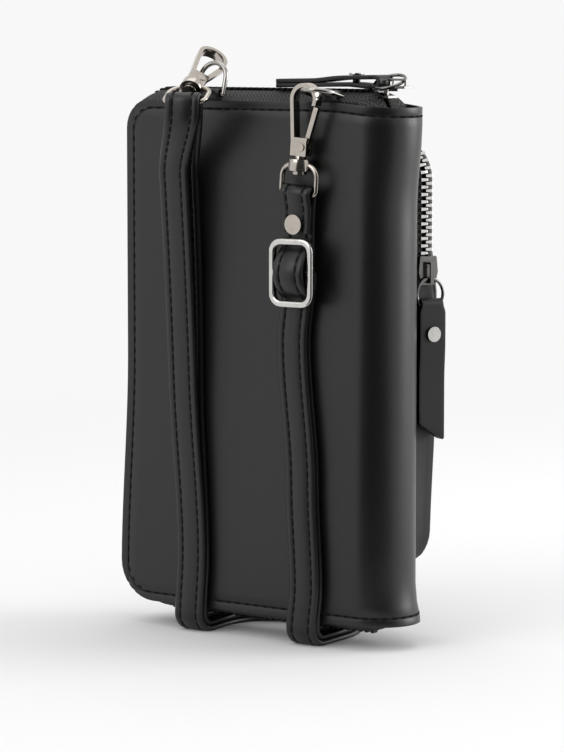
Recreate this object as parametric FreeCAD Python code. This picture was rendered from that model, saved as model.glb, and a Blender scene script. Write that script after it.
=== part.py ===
import FreeCAD, Part
import math
import os

V = FreeCAD.Vector
AXIS_X = V(1, 0, 0)
AXIS_Y = V(0, 1, 0)
AXIS_Z = V(0, 0, 1)

# Zip-around phone pouch standing on its strap, in millimetres.
# X runs along the back panel to the spine, Y from the back panel to the front pocket, Z up.

# Covers
body_width = 120.0
panel_height = 190.0
body_depth = 31.0
corner_top = 11.0
corner_bottom = 15.0
spine_dip = 2.0
spine_dip_run = 14.0
skin = 1.2
board_thick = 1.0
board_inset = 7.0
board_corner = 6.0
lining_thick = 0.6
lining_inset = 1.0
parting_gap = 0.2
fit_gap = 0.3
seam_gap = 0.05
overrun = 5.0

# Main zip
tape_thick = 0.6
tape_rise = 3.4
tape_hem = 6.0
tape_parting = 1.3
tooth_pitch = 2.7
tooth_height = 1.1
tooth_root_reach = 2.6
tooth_head_reach = 0.5
tooth_root_width = 1.24
tooth_head_width = 0.9

# Inside pockets
card_panel_count = 4
card_panel_thick = 0.8
card_panel_inset = 10.0
card_panel_top_gap = 40.0
card_panel_step = 20.0
sleeve_thick = 0.8
sleeve_inset = 12.0
sleeve_top_gap = 28.0
sleeve_room = 9.9

# Front pocket
pocket_width = 91.5
pocket_height = 151.0
pocket_spine_margin = 1.0
pocket_base_lift = 20.0
pocket_depth = 14.0
pocket_flare = 6.0
pocket_corner = 10.0
pocket_skin = 1.2
gusset_thick = 1.0
pocket_zip_share = 0.70
pocket_tape_width = 2.5
pocket_zip_drop = 49.0

# Zip sliders and pulls
slider_length = 10.6
slider_width = 8.4
slider_plate = 0.9
slider_flange = 0.9
slider_tail_width = 7.2
slider_nose_width = 6.0
slider_wide_share = 0.55
slider_base_length = 3.8
slider_base_width = 6.4
slider_post = 1.4
slider_past_spine_bend = 2.0
bail_width = 1.6
bail_bar = 0.8
bail_room = 1.9
bail_tail_margin = 2.2
bail_nose_margin = 0.7
ring_wire = 1.2
pull_ring_radius = 5.7
pull_width = 11.0
main_pull_length = 42.0
pocket_pull_length = 49.0
pull_notch_gap = 0.45
pull_leather = 1.3
pull_rivet_radius = 1.4
pull_rivet_head = 2.8
pull_rivet_head_thick = 0.7
pull_rivet_from_ring = 9.0
main_ring_lift = 3.0
main_pull_upper_splay = -0.9
main_pull_lower_splay = 0.0
pocket_ring_lift = 0.5
pocket_pull_splay = 0.0
slider_travel = 20.0

# D-rings and their leather tabs
d_ring_wire = 1.8
d_ring_inner = 10.0
d_ring_depth = 11.8
d_ring_clearance = 0.2
tab_leather = 0.9
tab_width = 9.4
tab_rise = 2.2
left_tab_inset = 39.5
right_tab_inset = 27.2
left_ring_tilt = 75.0
right_ring_tilt = 12.0

# Swivel snap hooks
hook_bow_radius = 5.8
hook_bar = 1.5
hook_depth = 3.8
hook_plate_width = 6.8
hook_plate_height = 6.6
hook_plate_start = 3.2
hook_length = 29.5
hook_nose_drop = 2.0
hook_bow_offset = 1.0
gate_bar = 1.8
gate_depth = 1.6
gate_lug_radius = 1.9
gate_pin_radius = 1.0
gate_pin_head_radius = 1.45
gate_pin_head = 0.4
gate_pivot_inset = 2.2
gate_pivot_rise = 3.2
pin_clearance = 0.1
swivel_radius = 4.2
swivel_height = 4.2
swivel_stem_radius = 2.0
swivel_stem_clearance = 0.15
swivel_head_radius = 2.7
swivel_head_height = 1.2
eye_wire = 1.9
eye_drop = 10.5
eye_corner = 1.8
eye_shoulder = 4.5
eye_side_clearance = 0.2
right_hook_standoff = 5.5
right_hook_lean = 4.0
right_hook_rise = 7.0
left_hook_inset = 38.5
left_hook_standoff = 10.0
left_hook_rise = 4.5
left_hook_lean = 64.0
left_hook_heading = 20.0
left_hook_turn = 34.0

# Shoulder strap
strap_width = 13.0
strap_thick = 2.1
layer_gap = 0.2
strap_left_inset = 30.5
strap_right_inset = 37.3
strap_bend_radius = 6.0
strap_left_drop = 27.1
strap_left_outer_out = 7.0
strap_left_inner_out = 3.0
strap_left_settle_drop = 62.0
strap_left_touch = 40.0
strap_fold_leg = 8.0
strap_split_drop = 3.0
strap_right_overlap = 0.8
strap_bight_start = 2.0
rivet_drop = 44.1
rivet_shank_radius = 1.2
rivet_head_radius = 3.6
rivet_head_thick = 1.0
slide_height = 25.0
slide_width = 19.4
slide_bar = 2.4
slide_depth = 2.6
slide_corner = 5.0
slide_centre_bar_radius = 1.0
slide_rivet_gap = 1.4

# Derived places
zip_rise = tape_rise + tooth_height
panel_bottom = 2 * strap_thick + 2 * layer_gap + zip_rise
panel_top = panel_bottom + panel_height
left_edge = -body_width / 2
spine_edge = body_width / 2
half_depth = body_depth / 2
spine_axis = spine_edge - half_depth
skin_inside = half_depth - skin
board_inside = skin_inside - board_thick
lining_inside = board_inside - lining_thick
slope_run = math.hypot(pocket_flare, pocket_depth)
card_panel_height = panel_height - card_panel_inset - card_panel_top_gap
sleeve_height = panel_height - sleeve_inset - sleeve_top_gap
main_slider_start = spine_axis + slider_past_spine_bend
left_tab_x = left_edge + left_tab_inset
right_tab_x = spine_edge - right_tab_inset
left_hook_x = left_edge + left_hook_inset
strap_left_x = left_edge + strap_left_inset
strap_right_x = spine_edge - strap_right_inset
strap_left_top = panel_top - strap_left_drop
strap_left_settle = strap_left_top - strap_left_settle_drop
rivet_height = panel_top - rivet_drop
strap_right_split = rivet_height - strap_split_drop
slide_centre = rivet_height - rivet_head_radius - slide_rivet_gap - slide_height / 2

nodes = {}


def arc(start, middle, end):
    return Part.Arc(start, middle, end).toShape()


def line(start, end):
    return Part.makeLine(start, end)


def polygon(points):
    return Part.Face(Part.makePolygon(points + points[:1]))


def block(x0, x1, y0, y1, z0, z1):
    return Part.makeBox(x1 - x0, y1 - y0, z1 - z0, V(x0, y0, z0))


def rod(radius, start, end):
    return Part.makeCylinder(radius, start.distanceToPoint(end), start, end - start)


def fused(shapes):
    return shapes[0].multiFuse(shapes[1:]).removeSplitter()


def mirrored(shape):
    return shape.mirror(V(0, 0, 0), AXIS_Y)


def placed(shape, origin, a, b, c):
    """Moves a shape from the global axes to the axes a, b and c at the origin given."""
    matrix = FreeCAD.Matrix(
        a.x, b.x, c.x, origin.x, a.y, b.y, c.y, origin.y, a.z, b.z, c.z, origin.z, 0, 0, 0, 1
    )
    return shape.transformed(matrix, copy=True)


def rounded_plate(x0, x1, z0, z1, radii, y0, y1):
    """A plate between y0 and y1 with corner radii in the order bottom left, bottom right, top right, top left."""
    signs = [(-1, -1), (1, -1), (1, 1), (-1, 1)]
    edges = []
    ends = []
    for (sx, sz), radius in zip(signs, radii):
        cx = (x1 if sx > 0 else x0) - sx * radius
        cz = (z1 if sz > 0 else z0) - sz * radius
        side = V(cx + sx * radius, y0, cz)
        flat = V(cx, y0, cz + sz * radius)
        middle = V(cx, y0, cz) + V(sx, 0, sz) * (radius * math.sqrt(0.5))
        first, last = (side, flat) if sx == sz else (flat, side)
        ends.append((first, last))
        if radius > 0:
            edges.append(arc(first, middle, last))
    for index, (first, last) in enumerate(ends):
        edges.append(line(last, ends[(index + 1) % len(ends)][0]))
    wire = Part.Wire(Part.__sortEdges__(edges))
    return Part.Face(wire).extrude(V(0, y1 - y0, 0))


def ribbon(edges, thickness, width_vector):
    """A flat strip along a path of lines and arcs, with rounded ends, as wide as the vector."""
    outline = Part.Wire(edges).makeOffset2D(thickness / 2)
    return Part.Face(outline).extrude(width_vector)


class Seam:
    """An outline of straight runs and quarter-round corners in the XZ plane, which turns to the left."""

    def __init__(self, points, radii):
        self.parts = []
        start = points[0]
        for index in range(1, len(points)):
            along = (points[index] - points[index - 1]).normalize()
            inset = radii[index - 1] if index < len(points) - 1 else 0
            end = points[index] - along * inset
            angle = math.degrees(math.atan2(along.z, -along.x))
            self.parts.append(("run", start, end, angle, 0))
            if inset:
                following = (points[index + 1] - points[index]).normalize()
                centre = end + following * inset
                self.parts.append(("corner", centre, None, angle, inset))
                start = centre + along * inset

    def place(self, shape, point, angle):
        moved = shape.copy()
        moved.Placement = FreeCAD.Placement(point, FreeCAD.Rotation(AXIS_Y, angle)).multiply(shape.Placement)
        return moved

    def outward(self, angle):
        return FreeCAD.Rotation(AXIS_Y, angle).multVec(AXIS_Z)

    def sweep(self, section):
        """Solids of a section, drawn in the YZ plane with Z as the distance outside the outline."""
        solids = []
        for kind, start, end, angle, radius in self.parts:
            if kind == "run":
                solids.append(self.place(section, start, angle).extrude(end - start))
            else:
                at = start + self.outward(angle) * radius
                solids.append(self.place(section, at, angle).revolve(start, AXIS_Y, -90))
        return solids

    def stations(self, pitch, first, offset):
        """Points and angles at equal steps, measured at a distance outside the outline."""
        found = []
        travelled = 0.0
        step = first
        for kind, start, end, angle, radius in self.parts:
            if kind == "run":
                length = (end - start).Length
            else:
                length = math.radians(90) * (radius + offset)
            while step <= travelled + length:
                share = (step - travelled) / length
                if kind == "run":
                    found.append((start + (end - start) * share, angle))
                else:
                    turned = angle - 90 * share
                    found.append((start + self.outward(turned) * radius, turned))
                step += pitch
            travelled += length
        return found


def tooth(side):
    """One zip tooth lying on the tape, its head just past the middle of the chain."""
    root, head = tooth_root_width / 2, tooth_head_width / 2
    reach, past = side * tooth_root_reach, -side * tooth_head_reach
    outline = polygon([V(-root, reach, 0), V(root, reach, 0), V(head, past, 0), V(-head, past, 0)])
    return outline.extrude(V(0, 0, tooth_height))


def chain(seam, first, offset, shape):
    return Part.makeCompound([seam.place(shape, at, angle) for at, angle in seam.stations(tooth_pitch, first, offset)])


# Covers, linings and stiffeners
def cover():
    outer, inner = half_depth, skin_inside
    middle = math.sqrt(0.5)
    edges = [
        line(V(left_edge, -outer, 0), V(spine_axis, -outer, 0)),
        arc(V(spine_axis, -outer, 0), V(spine_axis + outer * middle, -outer * middle, 0), V(spine_edge, 0, 0)),
        line(V(spine_edge, 0, 0), V(spine_edge - skin, 0, 0)),
        arc(V(spine_edge - skin, 0, 0), V(spine_axis + inner * middle, -inner * middle, 0), V(spine_axis, -inner, 0)),
        line(V(spine_axis, -inner, 0), V(left_edge, -inner, 0)),
        line(V(left_edge, -inner, 0), V(left_edge, -outer, 0)),
    ]
    skin_wall = Part.Face(Part.Wire(edges)).extrude(V(0, 0, panel_height))
    skin_wall.translate(V(0, 0, panel_bottom))
    outline = rounded_plate(
        left_edge, spine_edge + overrun, panel_bottom, panel_top,
        (corner_bottom, 0, 0, corner_top), -half_depth - overrun, overrun,
    )
    dip = polygon([
        V(spine_axis - spine_dip_run, -half_depth - overrun, panel_top),
        V(spine_edge, -half_depth - overrun, panel_top - spine_dip),
        V(spine_edge + overrun, -half_depth - overrun, panel_top - spine_dip),
        V(spine_edge + overrun, -half_depth - overrun, panel_top + overrun),
        V(spine_axis - spine_dip_run, -half_depth - overrun, panel_top + overrun),
    ]).extrude(V(0, body_depth + overrun, 0))
    parting = block(
        left_edge - overrun, spine_edge + overrun, -parting_gap / 2, overrun,
        panel_bottom - overrun, panel_top + overrun,
    )
    return skin_wall.common(outline).cut(dip).cut(parting)


def cover_board():
    return rounded_plate(
        left_edge + board_inset, spine_axis - lining_inset, panel_bottom + board_inset, panel_top - board_inset,
        [board_corner] * 4, -skin_inside, -board_inside,
    )


def cover_lining():
    inset = lining_inset
    return rounded_plate(
        left_edge + inset, spine_axis, panel_bottom + inset, panel_top - inset - spine_dip,
        (corner_bottom - inset, board_corner, board_corner, corner_top - inset), -board_inside, -lining_inside,
    )


def card_panel(index):
    near = lining_inside - index * card_panel_thick
    top = panel_bottom + card_panel_inset + card_panel_height - index * card_panel_step
    return rounded_plate(
        left_edge + card_panel_inset, spine_axis - card_panel_inset / 2, panel_bottom + card_panel_inset, top,
        [board_corner, board_corner, 0, 0], -near, -near + card_panel_thick,
    )


def phone_sleeve():
    x0, x1 = left_edge + sleeve_inset, spine_axis - sleeve_inset / 2
    z0, z1 = panel_bottom + sleeve_inset, panel_bottom + sleeve_inset + sleeve_height
    near = lining_inside - sleeve_room
    tray = block(x0, x1, near - sleeve_thick, lining_inside, z0, z1)
    room = block(x0 + sleeve_thick, x1 - sleeve_thick, near, lining_inside + overrun, z0 + sleeve_thick, z1 + overrun)
    return tray.cut(room)


# Main zip
main_seam = Seam(
    [V(spine_axis, 0, panel_top), V(left_edge, 0, panel_top), V(left_edge, 0, panel_bottom), V(spine_axis, 0, panel_bottom)],
    [corner_top, corner_bottom],
)


def zip_tape():
    """Half of the zip tape: a sewn hem inside the cover and a dome that rises to the teeth."""
    hem = skin_inside - seam_gap
    dome_span = hem - tape_parting
    outer = (tape_rise ** 2 + dome_span ** 2) / (2 * tape_rise)
    inner = outer - tape_thick
    centre = tape_rise - outer

    def on_dome(radius, y):
        return V(0, -y, centre + math.sqrt(radius ** 2 - (y - tape_parting) ** 2))

    hem_inner = hem - tape_thick
    edges = [
        line(V(0, -hem, -tape_hem), V(0, -hem, 0)),
        arc(V(0, -hem, 0), on_dome(outer, half_depth / 2), on_dome(outer, tape_parting)),
        line(on_dome(outer, tape_parting), on_dome(inner, tape_parting)),
        arc(on_dome(inner, tape_parting), on_dome(inner, half_depth / 2), on_dome(inner, hem_inner)),
        line(on_dome(inner, hem_inner), V(0, -hem_inner, -tape_hem)),
        line(V(0, -hem_inner, -tape_hem), V(0, -hem, -tape_hem)),
    ]
    section = Part.Face(Part.Wire(edges))
    solids = main_seam.sweep(section)
    top = main_seam.place(section, V(spine_axis, 0, panel_top), 0)
    bottom = main_seam.place(section, V(spine_axis, 0, panel_bottom), 180)
    turn = 90 - math.degrees(math.asin(parting_gap / 2 / tape_parting))
    for end in (top, bottom):
        solids.append(end.revolve(V(spine_axis, 0, 0), AXIS_Z, turn))
    post_end = main_slider_start + slider_post + 3 * fit_gap
    slot = block(spine_axis, post_end, -tape_parting, tape_parting, panel_top, panel_top + zip_rise)
    return fused(solids).cut(slot)


def main_teeth(side, first):
    lying = tooth(side)
    lying.translate(V(0, 0, tape_rise))
    return chain(main_seam, first, zip_rise, lying)


# Zip slider with its bail, along +X with its nose at the far end and the tape's face at z = 0
plate_low = tooth_height + fit_gap
plate_high = plate_low + slider_plate
bail_axis_x = slider_length - bail_nose_margin - bail_bar - fit_gap - ring_wire / 2
bail_axis_z = plate_high + bail_room / 2


def slider():
    wide = slider_length * slider_wide_share
    shield = [
        V(0, -slider_tail_width / 2, plate_low), V(wide, -slider_width / 2, plate_low),
        V(slider_length, -slider_nose_width / 2, plate_low), V(slider_length, slider_nose_width / 2, plate_low),
        V(wide, slider_width / 2, plate_low), V(0, slider_tail_width / 2, plate_low),
    ]
    solids = [polygon(shield).extrude(V(0, 0, slider_plate))]
    for side in (-1, 1):
        edge = side * slider_tail_width / 2
        low, high = sorted((edge, edge - side * slider_flange))
        solids.append(block(0, slider_base_length, low, high, fit_gap, plate_low))
    base_top = -tape_thick - 2 * fit_gap
    base = block(0, slider_base_length, -slider_base_width / 2, slider_base_width / 2, base_top - slider_plate, base_top)
    post = block(fit_gap, fit_gap + slider_post, -slider_post / 2, slider_post / 2, base_top, plate_low)
    x0, x1 = bail_tail_margin, slider_length - bail_nose_margin
    bridge = block(x0, x1, -bail_width / 2, bail_width / 2, plate_high, plate_high + bail_room + bail_bar)
    room = block(x0 + bail_bar, x1 - bail_bar, -bail_width, bail_width, plate_high, plate_high + bail_room)
    return fused(solids + [base, post, bridge.cut(room)])


def pull_pieces(direction, pull_length, ring_lift, upper_splay, lower_splay):
    """Ring, folded leather pull and rivet, from the bail along +X or -X, with the ring lifted by an angle."""
    middle = V(pull_ring_radius, 0, 0)
    ring_turn = FreeCAD.Rotation(AXIS_Y, -ring_lift)
    far = ring_turn.multVec(2 * middle)
    ring = Part.makeTorus(pull_ring_radius, ring_wire / 2, middle, AXIS_Z)
    notch = Part.makeTorus(pull_ring_radius, ring_wire / 2 + pull_notch_gap, middle, AXIS_Z)
    ring.rotate(V(0, 0, 0), AXIS_Y, -ring_lift)
    notch.rotate(V(0, 0, 0), AXIS_Y, -ring_lift)
    fold = ring_wire / 2 + fit_gap + pull_leather / 2
    path = [
        line(V(pull_length, 0, fold + upper_splay), V(0, 0, fold)),
        arc(V(0, 0, fold), V(-fold, 0, 0), V(0, 0, -fold)),
        line(V(0, 0, -fold), V(pull_length, 0, lower_splay - fold)),
    ]
    leather = ribbon(path, pull_leather, V(0, pull_width, 0)).translated(far - AXIS_Y * (pull_width / 2))
    share = pull_rivet_from_ring / pull_length
    at = far + AXIS_X * pull_rivet_from_ring
    high = fold + upper_splay * share + pull_leather / 2 + fit_gap
    low = lower_splay * share - fold - pull_leather / 2
    hole = rod(pull_rivet_radius + pin_clearance, at + AXIS_Z * (low - overrun), at + AXIS_Z * (high + overrun))
    rivet = fused([
        rod(pull_rivet_radius, at + AXIS_Z * low, at + AXIS_Z * high),
        rod(pull_rivet_head, at + AXIS_Z * high, at + AXIS_Z * (high + pull_rivet_head_thick)),
    ])
    pieces = [ring, leather.cut(hole).cut(notch), rivet]
    if direction < 0:
        pieces = [piece.rotated(V(0, 0, 0), AXIS_Z, 180) for piece in pieces]
    return [piece.translated(V(bail_axis_x, 0, bail_axis_z)) for piece in pieces]


# Front pocket
pocket_right = spine_axis - pocket_spine_margin
pocket_left = pocket_right - pocket_width
pocket_low = panel_bottom + pocket_base_lift
pocket_high = pocket_low + pocket_height
pocket_zip_end = pocket_high - pocket_zip_drop
pocket_slope = math.degrees(math.atan2(pocket_flare, pocket_depth))
pocket_corners = [pocket_corner, pocket_corner]
zip_side_seam = Seam(
    [V(pocket_right, 0, pocket_zip_end), V(pocket_right, 0, pocket_high),
     V(pocket_left, 0, pocket_high), V(pocket_left, 0, pocket_zip_end)],
    pocket_corners,
)
base_side_seam = Seam(
    [V(pocket_left, 0, pocket_zip_end), V(pocket_left, 0, pocket_low),
     V(pocket_right, 0, pocket_low), V(pocket_right, 0, pocket_zip_end)],
    pocket_corners,
)


def gusset_strip(from_share, to_share, thickness):
    """A strip of the flared side wall between two shares of its slope, its outer face on the slope."""
    def on_slope(share, sunk):
        return V(0, half_depth + pocket_depth * share, pocket_flare * share - sunk)

    return polygon([
        on_slope(from_share, 0), on_slope(to_share, 0), on_slope(to_share, thickness), on_slope(from_share, thickness),
    ])


tape_inner = pocket_zip_share - tape_parting / slope_run
tape_outer = pocket_zip_share + tape_parting / slope_run
strip_low = tape_inner - pocket_tape_width / slope_run
strip_high = tape_outer + pocket_tape_width / slope_run


def pocket_gusset():
    solids = base_side_seam.sweep(gusset_strip(0, 1, gusset_thick))
    solids += zip_side_seam.sweep(gusset_strip(0, strip_low, gusset_thick))
    solids += zip_side_seam.sweep(gusset_strip(strip_high, 1, gusset_thick))
    return fused(solids)


def pocket_tape(from_share, to_share):
    return fused(zip_side_seam.sweep(gusset_strip(from_share, to_share, tape_thick)))


def pocket_teeth(side, first):
    lying = tooth(side)
    lying.rotate(V(0, 0, 0), AXIS_X, pocket_slope)
    lying.translate(V(0, half_depth + pocket_depth * pocket_zip_share, pocket_flare * pocket_zip_share))
    return chain(zip_side_seam, first, pocket_flare * pocket_zip_share, lying)


def pocket_front():
    return rounded_plate(
        pocket_left - pocket_flare, pocket_right + pocket_flare,
        pocket_low - pocket_flare, pocket_high + pocket_flare,
        [pocket_corner + pocket_flare] * 4, half_depth + pocket_depth, half_depth + pocket_depth + pocket_skin,
    )


# Swivel snap hook: its length along Z from the swivel, its gate on the +X side
eye_half_width = strap_width / 2 + eye_side_clearance + eye_wire / 2
bow_centre = hook_length - hook_bow_radius
nose_end = bow_centre - hook_nose_drop
plate_top = hook_plate_start + hook_plate_height
gate_pivot_x = hook_plate_width / 2 - gate_pivot_inset
gate_pivot_z = hook_plate_start + gate_pivot_rise


def swivel_eye():
    width, corner, shoulder = eye_half_width, eye_corner, eye_shoulder
    cut_back = 1 - math.sqrt(0.5)
    bend, slope = corner * cut_back, shoulder * cut_back
    edges = [
        line(V(0, 0, 0), V(width - shoulder, 0, 0)),
        arc(V(width - shoulder, 0, 0), V(width - slope, 0, -slope), V(width, 0, -shoulder)),
        line(V(width, 0, -shoulder), V(width, 0, corner - eye_drop)),
        arc(V(width, 0, corner - eye_drop), V(width - bend, 0, bend - eye_drop), V(width - corner, 0, -eye_drop)),
        line(V(width - corner, 0, -eye_drop), V(0, 0, -eye_drop)),
    ]
    profile = Part.Wire([Part.makeCircle(eye_wire / 2, V(0, 0, 0), AXIS_X)])
    half = Part.Wire(edges).makePipeShell([profile], True, False)
    collar = rod(swivel_radius, V(0, 0, -swivel_height / 2), V(0, 0, swivel_height / 2))
    bore_radius = swivel_stem_radius + swivel_stem_clearance
    bore = rod(bore_radius, V(0, 0, -swivel_height), V(0, 0, swivel_height))
    loop = half.fuse(half.mirror(V(0, 0, 0), AXIS_X))
    return loop.fuse(collar).cut(bore).removeSplitter()


def hook_outline(inset):
    """The teardrop outline of the bow, drawn in by an inset on every side but the foot."""
    middle, radius = hook_bow_offset, hook_bow_radius - inset
    foot = hook_plate_width / 2 - inset
    low = plate_top - hook_bar
    edges = [
        line(V(-foot, 0, low), V(middle - radius, 0, bow_centre)),
        arc(V(middle - radius, 0, bow_centre), V(middle, 0, hook_length - inset), V(middle + radius, 0, bow_centre)),
        line(V(middle + radius, 0, bow_centre), V(foot, 0, low)),
        line(V(foot, 0, low), V(-foot, 0, low)),
    ]
    return Part.Face(Part.Wire(edges)).extrude(V(0, hook_depth, 0)).translated(V(0, -hook_depth / 2, 0))


def hook_body():
    inside = hook_outline(hook_bar).cut(
        block(-hook_bow_radius, hook_bow_radius, -hook_depth, hook_depth, 0, plate_top)
    )
    mouth = block(0, hook_bow_radius + overrun, -hook_depth, hook_depth, plate_top, nose_end)
    bow = hook_outline(0).cut(inside).cut(mouth)
    plate = block(
        -hook_plate_width / 2, hook_plate_width / 2, -hook_depth / 2, hook_depth / 2, hook_plate_start, plate_top
    )
    slot_half = gate_depth / 2 + pin_clearance
    slot = block(
        gate_pivot_x - gate_lug_radius - fit_gap, hook_plate_width, -slot_half, slot_half,
        gate_pivot_z - gate_lug_radius - fit_gap, plate_top + fit_gap,
    )
    pivot = V(gate_pivot_x, 0, gate_pivot_z)
    pin_hole = rod(gate_pin_radius + seam_gap, pivot - AXIS_Y * hook_depth, pivot + AXIS_Y * hook_depth)
    head_low = -swivel_height / 2 - swivel_stem_clearance
    stem = rod(swivel_stem_radius, V(0, 0, head_low), V(0, 0, hook_plate_start))
    head = rod(swivel_head_radius, V(0, 0, head_low - swivel_head_height), V(0, 0, head_low))
    return fused([bow.fuse(plate).cut(slot).cut(pin_hole), stem, head])


def hook_gate():
    """The sprung gate: a lug on its pin and a bar that closes the mouth against the nose."""
    lug = rod(
        gate_lug_radius, V(gate_pivot_x, -gate_depth / 2, gate_pivot_z), V(gate_pivot_x, gate_depth / 2, gate_pivot_z)
    )
    top_x = hook_bow_offset + hook_bow_radius - hook_bar / 2 - gate_bar / 2
    bottom_x = gate_pivot_x
    top_z = nose_end - fit_gap
    relief = gate_bar * (top_x + gate_bar - gate_pivot_x) / (top_z - gate_pivot_z)
    bar = polygon([
        V(bottom_x, -gate_depth / 2, gate_pivot_z), V(bottom_x + gate_bar, -gate_depth / 2, gate_pivot_z),
        V(top_x + gate_bar, -gate_depth / 2, top_z - relief), V(top_x, -gate_depth / 2, top_z),
    ]).extrude(V(0, gate_depth, 0))
    reach = AXIS_Y * hook_depth
    pivot = V(gate_pivot_x, 0, gate_pivot_z)
    return lug.fuse(bar).removeSplitter().cut(rod(gate_pin_radius + pin_clearance, pivot - reach, pivot + reach))


def gate_pin():
    pivot = V(gate_pivot_x, 0, gate_pivot_z)
    half = AXIS_Y * (hook_depth / 2)
    head = AXIS_Y * (hook_depth / 2 + gate_pin_head)
    return fused([
        rod(gate_pin_radius, pivot - half, pivot + half),
        rod(gate_pin_head_radius, pivot + half, pivot + head),
        rod(gate_pin_head_radius, pivot - head, pivot - half),
    ])


# D-ring and tab, the ring's bar along X through the origin and its bow towards +Y
def d_ring():
    side = (d_ring_inner + d_ring_wire) / 2
    bow_start = d_ring_depth - side
    radius = d_ring_wire / 2
    solids = [
        rod(radius, V(-side, 0, 0), V(side, 0, 0)),
        rod(radius, V(side, 0, 0), V(side, bow_start, 0)),
        rod(radius, V(-side, 0, 0), V(-side, bow_start, 0)),
        Part.makeSphere(radius, V(side, 0, 0)),
        Part.makeSphere(radius, V(-side, 0, 0)),
    ]
    bow = Part.makeTorus(side, radius, V(0, bow_start, 0), AXIS_Z)
    keep = block(-side - overrun, side + overrun, bow_start, d_ring_depth + overrun, -overrun, overrun)
    return fused(solids + [bow.common(keep)])


def ring_tab():
    inner = d_ring_wire / 2 + d_ring_clearance
    outer = inner + tab_leather
    ends = V(-tab_width / 2, 0, 0), V(tab_width / 2, 0, 0)
    neck = block(-tab_width / 2, tab_width / 2, 0, skin, -tab_rise, 0)
    return rod(outer, *ends).fuse(neck).cut(rod(inner, *ends)).removeSplitter()


def tab_point(x):
    return V(x, -half_depth, panel_top + tab_rise)


# Strap
inner_line = half_depth + fit_gap + strap_thick / 2
outer_line = inner_line + strap_thick + layer_gap
lower_level = strap_thick / 2
upper_level = lower_level + strap_thick + layer_gap
bend_y = strap_bend_radius - outer_line
bend_z = strap_bend_radius + lower_level
fold_radius = eye_wire / 2 + fit_gap + strap_thick / 2


def strap_run(x, top_edges, level, radius):
    """A layer of the strap down the back and under the base, cut square at both ends."""
    turn = radius * math.sqrt(0.5)
    low = V(0, bend_y - radius, bend_z)
    edges = top_edges(low) + [
        arc(low, V(0, bend_y - turn, bend_z - turn), V(0, bend_y, level)),
        line(V(0, bend_y, level), V(0, strap_bight_start, level)),
    ]
    strip = ribbon(edges, strap_thick, V(strap_width, 0, 0)).translated(V(x - strap_width / 2, 0, 0))
    top = edges[0].Vertexes[0].Point
    keep = block(
        x - strap_width, x + strap_width, top.y - body_width, strap_bight_start, -overrun, top.z
    )
    return strip.common(keep)


def bulged_top(top_out, settle):
    def edges(low):
        start = V(0, low.y - top_out, strap_left_top)
        end = V(0, low.y, settle)
        middle = V(0, low.y - top_out / 3, (strap_left_top + settle) / 2)
        return [arc(start, middle, end), line(end, low)]

    return edges


def straight_top(height):
    def edges(low):
        return [line(V(0, low.y, height), low)]

    return edges


def strap_bight(level):
    """The bend under the base that joins the two runs of one layer."""
    middle = (strap_left_x + strap_right_x) / 2
    radius = (strap_right_x - strap_left_x) / 2
    low = level - strap_thick / 2
    far = strap_bight_start

    def half_ring(size):
        return Part.Face(Part.Wire([
            arc(V(middle - size, far, low), V(middle, far + size, low), V(middle + size, far, low)),
            line(V(middle + size, far, low), V(middle - size, far, low)),
        ])).extrude(V(0, 0, strap_thick))

    return half_ring(radius + strap_width / 2).cut(half_ring(radius - strap_width / 2))


def strip_end(centre, across, thick_direction):
    """A closed rectangle across a strip."""
    a, b = across * (strap_width / 2), thick_direction * (strap_thick / 2)
    points = [centre - a - b, centre + a - b, centre + a + b, centre - a + b]
    return Part.makePolygon(points + points[:1])


def strap_left_loop(bar, across, forward):
    """The fold over the left eye's bar, with both legs turned down to meet the runs."""
    leg = strap_fold_leg
    path = [
        line(V(0, -fold_radius, -leg), V(0, -fold_radius, 0)),
        arc(V(0, -fold_radius, 0), V(0, 0, fold_radius), V(0, fold_radius, 0)),
        line(V(0, fold_radius, 0), V(0, fold_radius, -leg)),
    ]
    fold = ribbon(path, strap_thick, V(strap_width, 0, 0)).translated(V(-strap_width / 2, 0, 0))
    keep = block(-strap_width, strap_width, -body_width, body_width, -leg, body_width)
    solids = [placed(fold.common(keep), bar, across, forward, AXIS_Z)]
    legs = ((-1, outer_line + strap_left_outer_out), (1, inner_line + strap_left_inner_out))
    for side, out in legs:
        start = bar + forward * (side * fold_radius) - AXIS_Z * leg
        end = V(strap_left_x, -out, strap_left_top)
        ends = [strip_end(start, across, forward), strip_end(end, AXIS_X, AXIS_Y)]
        solids.append(Part.makeLoft(ends, True, True))
    return fused(solids)


right_swivel_z = panel_top + right_hook_rise - hook_length
right_upright = V(strap_right_x, -half_depth - right_hook_standoff, right_swivel_z)
rivet_point = V(strap_right_x, 0, rivet_height)


def leaned(shape):
    return shape.rotated(rivet_point, AXIS_Y, right_hook_lean)


tail_line = outer_line + strap_thick + layer_gap


def strap_fixed_loop():
    """The strap's fixed end, folded round the right eye's bar and riveted to itself."""
    bar_z = right_upright.z - eye_drop
    y = right_upright.y
    joint = (bar_z + rivet_height) / 2
    path = [
        line(V(0, -tail_line, strap_right_split), V(0, -tail_line, joint)),
        line(V(0, -tail_line, joint), V(0, y - fold_radius, bar_z)),
        arc(V(0, y - fold_radius, bar_z), V(0, y, bar_z + fold_radius), V(0, y + fold_radius, bar_z)),
        line(V(0, y + fold_radius, bar_z), V(0, -outer_line, joint)),
        line(V(0, -outer_line, joint), V(0, -outer_line, strap_right_split)),
    ]
    strip = ribbon(path, strap_thick, V(strap_width, 0, 0))
    strip.translate(V(strap_right_x - strap_width / 2, 0, 0))
    keep = block(-body_width, body_width, -body_width, body_width, strap_right_split, panel_top)
    return leaned(strip.common(keep)).cut(rivet_rod(rivet_shank_radius + pin_clearance, overrun))


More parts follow.
